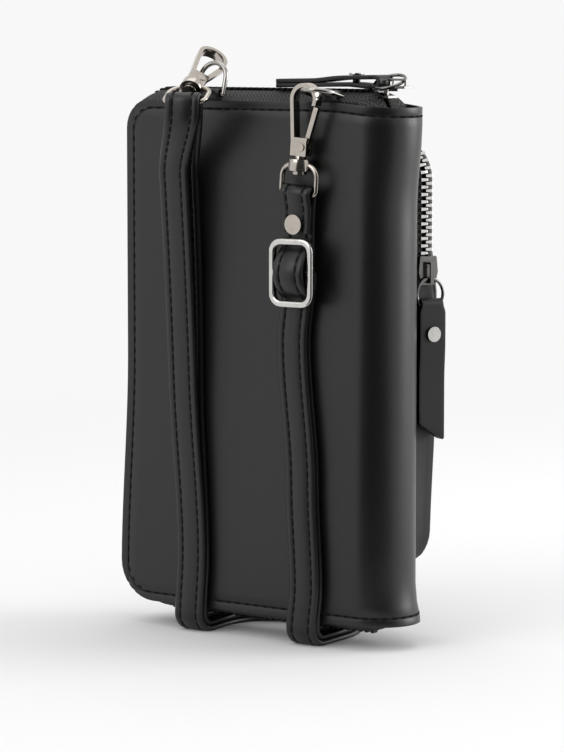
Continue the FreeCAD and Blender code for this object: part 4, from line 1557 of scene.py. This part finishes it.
@dataclass
class FrontPocket(SubAssembly):
    """The flared front pocket: side wall, crowned front and the zip round its upper part."""

    covers: Covers
    right: float = 43.5
    left: float = -48.0
    low: float = 29.1
    high: float = 180.1
    zip_end: float = 131.1
    depth: float = 14.0
    flare: float = 6.0
    corner: float = 10.0
    skin: float = 1.2
    wall: float = 1.0
    tape: float = 0.6
    crown: float = 1.8
    # Lines of the side wall as shares of its slope: the strip behind the zip, both tapes, the strip before it
    strip_low: float = 0.4505
    tape_inner: float = 0.6146
    tape_outer: float = 0.7854
    strip_high: float = 0.9496
    turn_in: float = 2.2
    turn_span: Pair = (0.74, 1.09)
    turn_rise: Pair = (-3.0, 15.0)
    taper: float = 2.6
    taper_span: Pair = (0.2, 1.0)
    taper_rise: float = 70.0
    drape: Pair = (-24.0, -1.0)
    wall_rim: float = 0.25
    rim: float = 0.5
    margin: float = 9.0
    groove: float = 0.6
    stitch_inset: float = 3.0
    stitch_pitch: float = 4.0
    stitch: float = 2.7
    thread: float = 0.7
    weave_slope: float = 1.09
    slider: Vector = field(default_factory=lambda: Vector((47.7, 25.3, 142.0)))
    bridge_drop: float = 8.2
    bridge_lift: float = 3.25
    tooth_round: float = 0.16
    slider_round: float = 0.28
    # How many lines each strip has up the slope, and how many faces it has along its sides, corners and top
    wall_lines: int = 9
    low_lines: int = 5
    high_lines: int = 2
    tape_lines: int = 3
    side_faces: int = 8
    corner_faces: int = 8
    top_faces: int = 10
    # How many lines are cut across and up the front
    lines: int = 13
    rows: int = 19

    def on_slope(self, share: float) -> Pair:
        """How far outside the seam and where across the pouch a share of the slope lies."""
        return self.flare * share, self.covers.half + self.depth * share

    def pull(self) -> ZipPull:
        """The pull that hangs from the pocket's slider.

        Returns:
            The pull.
        """
        slope = Vector((self.flare, self.depth, 0.0)) / math.hypot(self.flare, self.depth)
        out = Vector((slope.y, -slope.x, 0.0))
        bridge = self.slider - UP * self.bridge_drop + out * self.bridge_lift
        return ZipPull(
            "pocket_pull", bridge, along=-UP, across=slope, length=50.9, ring_lift=0.5, slant=7.0, fold=1.4,
        )

    def curl(self, co: Vector) -> Vector:
        """Turns the wall inwards past the teeth, along the zip, and tapers its foot.

        Args:
            co: A point on the plain wall.

        Returns:
            The point where it lies.
        """
        share = (co.y - self.covers.half) / self.depth
        zipped = ease(co.z - self.zip_end, *self.turn_rise)
        foot = 1.0 - ease(co.z, self.low, self.low + self.taper_rise)
        amount = self.turn_in * ease(share, *self.turn_span) * zipped
        amount += self.taper * ease(share, *self.taper_span) * foot
        bend = self.corner
        x = min(max(co.x, self.left + bend), self.right - bend)
        z = min(max(co.z, self.low + bend), self.high - bend)
        out = co - Vector((x, co.y, z))
        return co - out.normalized() * min(amount, out.length) if out.length > 0 else co.copy()

    def draw(self, piece: Workpiece, shares: Sequence[float], upper: bool) -> None:
        """Draws a strip of the side wall round the upper or the lower part of the pocket.

        Args:
            piece: The workpiece to draw in.
            shares: The strip's lines as shares of the slope.
            upper: Whether it goes over the top or round the base.
        """
        bend, turned = self.corner, 1.0 if upper else -1.0
        edge, far = (self.right, self.left) if upper else (self.left, self.right)
        end = (self.high if upper else self.low) - turned * bend
        points = []
        for share in shares:
            out, y = self.on_slope(share)
            points.append(Vector((edge + turned * out, y, self.zip_end)))
        rise = UP * (end - self.zip_end)
        line = piece.pull(piece.line(points), rise, self.side_faces)
        line = piece.turn(line, Vector((edge - turned * bend, 0, end)), BACK, 90.0, self.corner_faces)
        line = piece.pull(line, RIGHT * (far - edge + turned * 2 * bend), self.top_faces)
        line = piece.turn(line, Vector((far + turned * bend, 0, end)), BACK, 90.0, self.corner_faces)
        piece.pull(line, -rise, self.side_faces)

    def face_out(self, piece: Workpiece) -> None:
        """Joins a strip's doubles and turns its faces away from the pocket's middle.

        Args:
            piece: The strip.
        """
        piece.join(10 * SAME)
        middle = Vector(((self.left + self.right) / 2, 0, (self.low + self.high) / 2))
        inward = 0
        for face in piece.mesh.faces:
            away = face.calc_center_median() - middle
            away.y = 0
            inward += 1 if face.normal.dot(away) < 0 else -1
        if inward > 0:
            piece.turn_over()

    def build(self) -> None:
        """Models the side wall, the tapes, the front and the stitching."""
        piece = Workpiece("pocket_side_wall")
        self.draw(piece, steps(0.0, 1.0, self.wall_lines), False)
        self.draw(piece, steps(0.0, self.strip_low, self.low_lines), True)
        self.draw(piece, steps(self.strip_high, 1.0, self.high_lines), True)
        self.face_out(piece)
        piece.shape(self.curl)
        piece.settle(FINISHES.pocket, FRONT_HALF, ("pocket_gusset",), wall=self.wall, rim=self.wall_rim)
        self.build_tape("pocket_back_tape", self.strip_low, self.tape_inner)
        self.build_tape("pocket_front_tape", self.tape_outer, self.strip_high)
        self.build_front()

    def build_tape(self, name: str, start: float, end: float) -> None:
        """One tape of the pocket's zip.

        Args:
            name: The CAD node that it stands for.
            start: Where it starts, as a share of the slope.
            end: Where it ends.
        """
        strip = Workpiece(name + "_cloth")
        self.draw(strip, steps(start, end, self.tape_lines), True)
        self.face_out(strip)
        strip.map(lambda co: (co.x + co.z, co.y * self.weave_slope))
        strip.shape(self.curl)
        strip.settle(FINISHES.tape, FRONT_HALF, (name,), wall=self.tape)

    def front_box(self) -> tuple[float, float, float, float]:
        """The front panel's left, right, lower and upper edge."""
        return self.left - self.flare, self.right + self.flare, self.low - self.flare, self.high + self.flare

    def swell(self, co: Vector) -> Vector:
        """Crowns the front panel and takes its rim along with the wall.

        Args:
            co: A point on the flat panel.

        Returns:
            The point where it lies.
        """
        x0, x1, z0, z1 = self.front_box()
        u = (co.x - (x0 + x1) / 2) / ((x1 - x0) / 2)
        w = (co.z - (z0 + z1) / 2) / ((z1 - z0) / 2)
        inside = min(x1 - co.x, co.x - x0, z1 - co.z, co.z - z0)
        draped = co.lerp(self.curl(co), ease(-inside, *self.drape))
        return draped + FRONT * (self.crown * (1 - u ** 4) * (1 - w ** 4))

    def build_front(self) -> None:
        """The crowned front panel with its stitched edge."""
        piece = Workpiece("pocket_front_leather")
        face = self.covers.half + self.depth + self.skin
        x0, x1, z0, z1 = self.front_box()
        inset, margin, corner = self.stitch_inset, self.margin, self.corner + self.flare
        piece.panel(upright(x1, x0, z0, z1, face), [corner] * 4)
        for normal, start, end, count in ((RIGHT, x0, x1, self.lines), (UP, z0, z1, self.rows)):
            seams = groove_lines(start + inset, self.groove) + groove_lines(end - inset, self.groove)
            piece.slice(normal, seams + steps(start + margin, end - margin, count))
        piece.shape(self.swell)
        piece.settle(FINISHES.pocket, FRONT_HALF, ("pocket_front",), wall=self.skin, rim=self.rim)
        row = Workpiece("pocket_front_stitching")
        corners = upright(x1 - inset, x0 + inset, z0 + inset, z1 - inset, face)
        for at, along in rounded_walk(corners, [corner - inset] * 4, self.stitch_pitch):
            row.stitch(self.swell(at), along, FRONT, self.stitch, self.thread)
        row.settle(FINISHES.thread, FRONT_HALF)

    def dress(self) -> None:
        """Gives the pocket's teeth and slider their finishes."""
        teeth = ["pocket_back_teeth", "pocket_front_teeth"]
        dress_nodes(FINISHES.silver_teeth, teeth, round_mm=self.tooth_round)
        dress_nodes(FINISHES.gunmetal, ["pocket_slider"], round_mm=self.slider_round)


@dataclass
class Strap(SubAssembly):
    """The shoulder strap, one folded and stitched strip from its riveted end to the slide."""

    width: float = 13.0
    thick: float = 2.1
    left_x: float = -29.5
    right_x: float = 22.7
    inner: float = 16.85
    outer: float = 19.15
    tail: float = 21.45
    bend_y: float = -13.15
    bend_z: float = 7.05
    bend_outer: float = 6.0
    bend_inner: float = 3.7
    lower: float = 1.05
    upper: float = 3.35
    bight_start: float = 2.0
    left_top: float = 172.0
    fold: float = 2.3
    rivet_z: float = 155.0
    rivet_round: float = 0.45
    split: float = 152.0
    eye_bar: float = 166.1
    eye_y: float = -21.0
    lean: float = 4.0
    lean_reach: float = 6.0
    run_gap: float = 2.0
    left_bar: Vector = field(default_factory=lambda: Vector((-18.272, -34.368, 198.997)))
    left_across: Vector = field(default_factory=lambda: Vector((0.9397, 0.3420, 0.0)))
    leg_drop: float = 3.0
    # How far both layers stand off at the top of the left run, and the heights below which they lie close
    outer_stand: float = 7.0
    outer_touch: float = 40.0
    inner_stand: float = 3.0
    inner_touch: float = 110.0
    bow: float = 0.67
    # How far each run strays from its line, as pairs of height and stray
    right_stray: tuple[Pair, ...] = (
        (4.0, 0.6), (22.0, 2.2), (60.0, 0.6), (112.0, -3.2), (136.0, -0.6), (150.0, 0.3), (170.0, 0.0),
    )
    left_stray: tuple[Pair, ...] = ((4.0, 1.2), (30.0, 2.6), (95.0, 0.0), (172.0, 0.0))
    # The rolled edge, as pairs of distance from the edge and share of half the thickness
    roll: tuple[Pair, ...] = ((0.0, 0.0), (0.15, 0.55), (0.7, 0.92), (1.5, 1.0))
    groove: float = 0.7
    groove_depth: float = 0.42
    stitch_row: float = 3.6
    stitch_pitch: float = 3.6
    stitch: float = 2.6
    thread: float = 0.8
    thread_sunk: float = 0.3
    slide_z: float = 137.5
    slide_crest: float = 26.5
    slide_edge: float = 8.75
    slide_ends: Pair = (12.5, 10.5)
    slide_grain: float = 0.25
    slide_passes: int = 45
    # How many places each stretch of the strip is drawn through
    tail_places: int = 4
    loop_shares: Pair = (0.33, 0.66)
    fold_places: int = 13
    run_places: int = 44
    bend_places: int = 9
    base_places: int = 5
    bight_places: int = 19
    leg_places: int = 9
    slide_places: int = 15
    sharp: float = 60.0

    def section(self) -> list[Pair]:
        """The strip's section: rolled edges and a sunk line under each row of stitches.

        Returns:
            Its outline, across and towards the face.
        """
        half, deep, row = self.width / 2, self.thick / 2, self.stitch_row
        left = [(-half + inset, deep * share) for inset, share in self.roll]
        left += [(-row - self.groove, deep), (-row, deep - self.groove_depth), (-row + self.groove, deep)]
        face = left + [(-x, y) for x, y in reversed(left)]
        return face + [(x, -y) for x, y in reversed(face[1:-1])]

    def leaned(self, station: Station) -> Station:
        """Turns a place above the rivet with the leaning hook.

        Args:
            station: The place on the upright strap.

        Returns:
            The place as it leans.
        """
        angle = self.lean * ease(station.at.z, self.split - self.lean_reach, self.rivet_z)
        pivot = Vector((self.right_x, 0, self.rivet_z))
        turn = Matrix.Rotation(math.radians(angle), 3, "Y")
        return Station(pivot + turn @ (station.at - pivot), turn @ station.across, turn @ station.face)

    def fixed_end(self) -> list[Station]:
        """From the riveted tail up round the right eye and down to the run.

        Returns:
            The places in order.
        """
        neck = (self.eye_bar + self.rivet_z) / 2
        up, down = self.eye_y - self.fold, self.eye_y + self.fold
        points = [(-self.tail, z, BACK) for z in steps(self.split, neck, self.tail_places)]
        climb = self.eye_bar - neck
        for share in self.loop_shares:
            points.append((-self.tail + (up + self.tail) * share, neck + climb * share, BACK))
        for angle in steps(0.0, math.pi, self.fold_places):
            out = Vector((0, -math.cos(angle), math.sin(angle)))
            points.append((self.eye_y + out.y * self.fold, self.eye_bar + out.z * self.fold, out))
        for share in (*self.loop_shares, 1.0):
            points.append((down - (self.outer + down) * share, self.eye_bar - climb * share, FRONT))
        return [self.leaned(Station(Vector((self.right_x, y, z)), RIGHT, face)) for y, z, face in points]

    def down(
        self, x: float, stray: Sequence[Pair], line: Callable[[float], float], top: float,
        radius: float, level: float,
    ) -> list[Station]:
        """A run down the back, round the lower edge and under the base.

        Args:
            x: The run's line.
            stray: How far it strays from it, as pairs of height and stray.
            line: Where its middle lies across the pouch at a height.
            top: The height it starts from.
            radius: The bend's radius under the base.
            level: Its level under the base.

        Returns:
            The places, from the top to the bight.
        """
        found = []
        for z in steps(top, self.bend_z, self.run_places):
            found.append(Station(Vector((x + between(z, stray), line(z), z)), RIGHT, BACK))
        for angle in steps(0.0, math.pi / 2, self.bend_places)[1:]:
            out = Vector((0, -math.cos(angle), -math.sin(angle)))
            at = Vector((x, self.bend_y, self.bend_z)) + out * radius
            found.append(Station(at + RIGHT * between(at.z, stray), RIGHT, out))
        for y in steps(self.bend_y, self.bight_start, self.base_places)[1:]:
            left = between(level, stray) * (1 - ease(y, self.bend_y, self.bight_start))
            found.append(Station(Vector((x + left, y, level)), RIGHT, -UP))
        return found

    def bight(self, level: float) -> list[Station]:
        """The flat bend under the base, from the right run to the left one.

        Args:
            level: The height of the strip's middle.

        Returns:
            The places along it, without its two ends.
        """
        middle = Vector(((self.left_x + self.right_x) / 2, self.bight_start, level))
        radius = (self.right_x - self.left_x) / 2
        found = []
        for angle in steps(0.0, math.pi, self.bight_places)[1:-1]:
            out = Vector((math.cos(angle), math.sin(angle), 0))
            found.append(Station(middle + out * radius, out, -UP))
        return found

    def leg(self, low: Vector, high: Vector) -> list[Station]:
        """One layer from the top of the left run up to the left eye's bar.

        Args:
            low: Where it starts.
            high: Where it ends.

        Returns:
            The places, from low to high.
        """
        found = []
        for share in steps(0.0, 1.0, self.leg_places):
            eased = ease(share, 0.0, 1.0)
            at = low.lerp(high, eased)
            at.z = low.z + (high.z - low.z) * share
            across = RIGHT.lerp(self.left_across, eased).normalized()
            found.append(Station(at, across, Vector((across.y, -across.x, 0))))
        return found

    def left_loop(self) -> list[Station]:
        """Up from the outer run, over the left eye's bar and down to the inner run.

        Returns:
            The places in order.
        """
        forward = Vector((-self.left_across.y, self.left_across.x, 0)) * self.fold
        foot = self.left_bar - UP * self.leg_drop
        rise = self.leg(Vector((self.left_x, self.outer_left(self.left_top), self.left_top)), foot - forward)
        fall = self.leg(Vector((self.left_x, self.inner_left(self.left_top), self.left_top)), foot + forward)
        over = []
        for angle in steps(0.0, math.pi, self.fold_places):
            out = forward * -math.cos(angle) + UP * (self.fold * math.sin(angle))
            over.append(Station(self.left_bar + out, self.left_across, out))
        return rise + over + self.turned(fall[::-1], face=-1.0)

    def outer_left(self, z: float) -> float:
        """Where the outer left layer lies across the pouch at a height."""
        return -self.outer - self.outer_stand * self.bulge(z, self.outer_touch)

    def inner_left(self, z: float) -> float:
        """Where the inner left layer lies across the pouch at a height."""
        return -self.inner - self.inner_stand * self.bulge(z, self.inner_touch)

    def bulge(self, z: float, touch: float) -> float:
        """The share of its stand-off that a left layer keeps at a height."""
        share = min(max((z - touch) / (self.left_top - touch), 0.0), 1.0)
        return share * (share * self.bow + 1.0 - self.bow)

    @staticmethod
    def turned(places: Sequence[Station], face: float = 1.0, across: float = 1.0) -> list[Station]:
        """The same places with the face or the width run the other way, so that the strip never twists."""
        return [Station(place.at, place.across * across, place.face * face) for place in places]

    def build(self) -> None:
        """Models the whole strip, the loop on the slide and the stitching."""
        right, left = (self.right_x, self.right_stray), (self.left_x, self.left_stray)
        outer, inner = (self.bend_outer, self.lower), (self.bend_inner, self.upper)
        left_start, right_start = self.left_top - self.run_gap, self.split + self.run_gap
        right_outer = self.down(*right, lambda z: -self.outer, right_start, *outer)
        left_outer = self.down(*left, self.outer_left, left_start, *outer)
        left_inner = self.down(*left, self.inner_left, left_start, *inner)
        right_inner = self.down(*right, lambda z: -self.inner, self.slide_z, *inner)
        right_outer = [self.leaned(place) for place in right_outer]
        whole = self.fixed_end() + self.turned(right_outer + self.bight(self.lower), face=-1.0)
        whole += self.turned(left_outer[::-1] + self.left_loop(), face=-1.0, across=-1.0)
        whole += self.turned(left_inner, across=-1.0) + self.bight(self.upper)[::-1] + right_inner[::-1]
        self.lay("strap_strip", whole, BACK_HALF, (
            "strap_fixed_loop", "strap_right_outer", "strap_bight_lower", "strap_left_outer",
            "strap_left_loop", "strap_left_inner", "strap_bight_upper", "strap_right_inner",
        ))
        self.lay("slide_strip", self.slide_loop(), "strap_slide", ("strap_slide_loop",))

    def slide_loop(self) -> list[Station]:
        """The layer that the slide holds, over its middle bar.

        Returns:
            The places, from the top down.
        """
        edge, rise = self.slide_edge, self.slide_crest - self.tail
        start = Vector((self.right_x, -self.tail, self.slide_z))
        end, turn = self.slide_ends
        found = [Station(start + UP * z, RIGHT, BACK) for z in (end, turn)]
        for z in steps(edge, -edge, self.slide_places):
            at = start + BACK * (rise * (1.0 - (z / edge) ** 2)) + UP * z
            found.append(Station(at, RIGHT, Vector((0, -1.0, 2.0 * z / edge ** 2 * rise)).normalized()))
        return found + [Station(start - UP * z, RIGHT, BACK) for z in (turn, end)]

    def lay(self, name: str, places: Sequence[Station], body: str, replaced: Sequence[str]) -> None:
        """Draws a strip along its places and sews both rows on both faces.

        Args:
            name: The piece's name.
            places: Where it goes.
            body: The body it rides on.
            replaced: The CAD nodes that it stands for.
        """
        piece = Workpiece(name)
        piece.draw(self.section(), places)
        piece.settle(FINISHES.strap, body, replaced, sharp=self.sharp)
        row = Workpiece(name + "_stitching")
        travelled, due = 0.0, self.stitch_pitch / 2
        for place, following in zip(places, places[1:]):
            along = following.at - place.at
            gap = along.length
            while gap > TINY and due <= travelled + gap:
                share = (due - travelled) / gap
                middle = place.at.lerp(following.at, share)
                across = place.across.lerp(following.across, share).normalized() * self.stitch_row
                face = place.face.lerp(following.face, share).normalized()
                for side, look in ((-1, -1), (-1, 1), (1, -1), (1, 1)):
                    spot = middle + across * side + face * (look * (self.thick / 2 - self.thread_sunk))
                    row.stitch(spot, along, face * look, self.stitch, self.thread)
                due += self.stitch_pitch
            travelled += gap
        row.settle(FINISHES.strap_thread, body)

    def dress(self) -> None:
        """Gives the slide and the rivet their finishes."""
        dress_nodes(FINISHES.silver, ["strap_slide"])
        self.round_off(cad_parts["strap_slide"])
        dress_nodes(FINISHES.nickel, ["strap_rivet"], round_mm=self.rivet_round)

    def round_off(self, slide: bpy.types.Object) -> None:
        """Wears the slide's square bar down to the rounded one of a cast frame.

        Args:
            slide: The slide.
        """
        skin = slide.modifiers.new("skin", "REMESH")
        skin.mode, skin.voxel_size, skin.use_smooth_shade = "VOXEL", self.slide_grain * MM, True
        worn = slide.modifiers.new("worn", "SMOOTH")
        worn.factor, worn.iterations = 0.5, self.slide_passes


@dataclass
class RingTab(SubAssembly):
    """A leather tab sewn into the back seam, folded round a D-ring's bar."""

    name: str
    x: float
    covers: Covers
    width: float = 9.4
    rise: float = 2.2
    inner: float = 1.1
    leather: float = 0.9
    rim: float = 0.2
    # Where both legs of the fold meet the seam, and the angles between which it goes round the bar
    front_leg: float = 0.75
    back_leg: float = 0.2
    foot: float = 0.05
    turn: Pair = (-62.0, 242.0)
    # How many lines the fold has, and how many faces the tab has across
    fold_lines: int = 19
    faces: int = 4

    def build(self) -> None:
        """Models the fold and its two legs."""
        piece = Workpiece(self.name + "_leather")
        y, z = -self.covers.half, self.covers.top + self.rise
        radius = self.inner + self.leather / 2
        x0, seam = self.x - self.width / 2, z - self.rise + self.foot
        points = [Vector((x0, y + self.front_leg, seam))]
        for angle in steps(*self.turn, self.fold_lines):
            at = math.radians(angle)
            points.append(Vector((x0, y + radius * math.cos(at), z + radius * math.sin(at))))
        points.append(Vector((x0, y + self.back_leg, seam)))
        piece.pull(piece.line(points), RIGHT * self.width, self.faces)
        piece.face_alike()
        piece.settle(FINISHES.skin, BACK_HALF, (self.name,), wall=self.leather, rim=self.rim, side=0.0)


@dataclass
class SnapHook(SubAssembly):
    """A swivel snap hook with its eye and D-ring."""

    side: str
    body_round: float = 0.4
    gate_round: float = 0.25
    pin_round: float = 0.2
    eye_round: float = 0.3

    def dress(self) -> None:
        """Gives every metal piece its finish and its rounded edges."""
        dress_nodes(FINISHES.nickel, [self.side + "_hook_body"], round_mm=self.body_round)
        dress_nodes(FINISHES.nickel, [self.side + "_hook_gate"], round_mm=self.gate_round)
        dress_nodes(FINISHES.nickel, [self.side + "_gate_pin"], round_mm=self.pin_round)
        dress_nodes(FINISHES.nickel, [self.side + "_swivel_eye"], round_mm=self.eye_round)
        dress_nodes(FINISHES.ring, [self.side + "_d_ring"])


# Stage
@dataclass(frozen=True)
class Softbox:
    """A square lamp, placed towards the camera, to its right and up from the pouch's middle, in metres."""

    name: str
    ahead: float
    right: float
    up: float
    size: float
    power: float


@dataclass
class Studio:
    """Plain pale floor, soft light and the camera."""

    background: float = 0.94
    floor: float = 0.82
    floor_radius: float = 9.0
    floor_sides: int = 64
    floor_fade: Pair = (0.28, 0.95)
    fill: float = 0.80
    target: Vector = field(default_factory=lambda: Vector((0.003311, 0.002317, 0.09672)))
    azimuth: float = 36.0
    pitch: float = 6.05
    distance: float = 1.248
    lens: float = 160.6
    sensor: float = 36.0
    clip: Pair = (0.05, 50.0)
    lamps: tuple[Softbox, ...] = (
        Softbox("key_softbox", ahead=0.9, right=-1.1, up=0.8, size=1.1, power=7.0),
        Softbox("rim_softbox", ahead=-0.15, right=1.25, up=0.35, size=0.8, power=10.0),
        Softbox("top_softbox", ahead=-0.3, right=0.0, up=1.5, size=1.2, power=5.0),
    )
    # The foot and the head of the leaning dark card, ahead, to the right and up from the floor's middle
    card_foot: tuple[float, float, float] = (0.13, 0.02, 0.0)
    card_head: tuple[float, float, float] = (0.34, 0.05, 0.36)
    card_width: float = 0.34
    card: float = 0.02
    card_rough: float = 0.9

    def spot(self, ahead: float, right: float, up: float) -> Vector:
        """A place seen from the camera's side: nearer to it, to its right and up.

        Args:
            ahead: How far towards the camera.
            right: How far to its right.
            up: How high.

        Returns:
            The place, from the floor's middle.
        """
        turn = math.radians(self.azimuth)
        near, side = Vector((math.sin(turn), -math.cos(turn), 0)), Vector((math.cos(turn), math.sin(turn), 0))
        return near * ahead + side * right + UP * up

    def towards(self) -> Vector:
        """The way from the pouch to the camera."""
        tip = math.radians(self.pitch)
        return self.spot(math.cos(tip), 0.0, math.sin(tip))

    def build(self) -> None:
        """Makes the camera, the floor, the world, the lamps and the card."""
        scene = bpy.context.scene
        scene.view_settings.view_transform = "Standard"
        self.build_camera(scene)
        self.build_floor()
        self.build_world(scene)
        for lamp in self.lamps:
            self.build_lamp(lamp)
        self.build_card()

    def build_camera(self, scene: bpy.types.Scene) -> None:
        """The camera at the photograph's angle.

        Args:
            scene: The scene that it is for.
        """
        data = bpy.data.cameras.new("camera")
        data.lens, data.sensor_width, data.sensor_fit = self.lens, self.sensor, "AUTO"
        data.clip_start, data.clip_end = self.clip
        camera = bpy.data.objects.new("camera", data)
        scene.collection.objects.link(camera)
        camera.location = self.target + self.towards() * self.distance
        camera.rotation_euler = (-self.towards()).to_track_quat("-Z", "Y").to_euler()
        scene.camera = camera

    def build_floor(self) -> None:
        """A wide pale floor that keeps the pouch's shadow and fades into the background."""
        mesh = bmesh.new()
        bmesh.ops.create_circle(mesh, cap_ends=True, radius=self.floor_radius, segments=self.floor_sides)
        floor = into_scene("floor", mesh)
        tree = FinishTree("pale_floor")
        x, y, _ = tree.place().parts()
        far = (x * x + y * y).root().step(*self.floor_fade)
        floor.data.materials.append(tree.surface({
            "Base Color": tree.mix(far, grey(self.floor), grey(0.0)),
            "Emission Color": tree.mix(far, grey(0.0), grey(self.background)),
            "Emission Strength": 1.0,
            "Roughness": 1.0,
            "Specular IOR Level": 0.0,
        }))

    def build_card(self) -> None:
        """A leaning dark card that the pouch mirrors and the camera doesn't see."""
        foot, head = self.spot(*self.card_foot), self.spot(*self.card_head)
        look = self.spot(0.0, 1.0, 0.0).cross(foot - head).to_track_quat("Z", "Y").to_matrix().to_4x4()
        size = Matrix.Diagonal((self.card_width, (head - foot).length, 1.0, 1.0))
        mesh = bmesh.new()
        bmesh.ops.create_grid(mesh, x_segments=1, y_segments=1, size=0.5)
        place = Matrix.Translation((foot + head) / 2) @ look @ size
        bmesh.ops.transform(mesh, verts=mesh.verts[:], matrix=place)
        card = into_scene("dark_card", mesh)
        card.visible_camera = card.visible_shadow = card.visible_diffuse = False
        inputs = {"Base Color": grey(self.card), "Roughness": self.card_rough}
        card.data.materials.append(FinishTree("dark_card").surface(inputs))

    def build_world(self, scene: bpy.types.Scene) -> None:
        """Even light, with the pale background where it is seen or mirrored.

        Args:
            scene: The scene that it is for.
        """
        scene.world = bpy.data.worlds.new("studio")
        scene.world.use_nodes = True
        tree = NodeTree(scene.world.node_tree)
        path = tree.make("ShaderNodeLightPath", {}, {})
        rays = ("Is Camera Ray", "Is Glossy Ray", "Is Transmission Ray")
        seen, mirrored, through = (Socket(tree, path.outputs[ray]) for ray in rays)
        light = tree.node("ShaderNodeBackground", {}, {"Color": grey(1.0), "Strength": self.fill})
        backdrop = tree.node("ShaderNodeBackground", {}, {"Color": grey(self.background)})
        share = seen.at_least(mirrored).at_least(through)
        mixed = tree.node("ShaderNodeMixShader", {}, {0: share, 1: light, 2: backdrop})
        tree.make("ShaderNodeOutputWorld", {}, {"Surface": mixed})

    def build_lamp(self, lamp: Softbox) -> None:
        """One square softbox that looks at the pouch.

        Args:
            lamp: What it is.
        """
        data = bpy.data.lights.new(lamp.name, "AREA")
        data.shape, data.size, data.energy = "SQUARE", lamp.size, lamp.power
        made = bpy.data.objects.new(lamp.name, data)
        bpy.context.scene.collection.objects.link(made)
        offset = self.spot(lamp.ahead, lamp.right, lamp.up)
        made.location = self.target + offset
        made.rotation_euler = (-offset).to_track_quat("-Z", "Y").to_euler()


def main() -> None:
    """Builds and dresses every sub-assembly in order."""
    logging.basicConfig(level=logging.INFO, format="%(name)s: %(message)s")
    covers = Covers()
    main_zip, pocket = MainZip(covers), FrontPocket(covers)
    Studio().build()
    groups: list[SubAssembly] = [
        covers, InsidePockets(covers), main_zip, pocket, main_zip.pull(), pocket.pull(), Strap(),
        RingTab("left_ring_tab", x=-20.5, covers=covers), RingTab("right_ring_tab", x=32.8, covers=covers),
        SnapHook("left"), SnapHook("right"),
    ]
    for group in groups:
        group.build()
        group.dress()


if __name__ == "__main__":
    main()
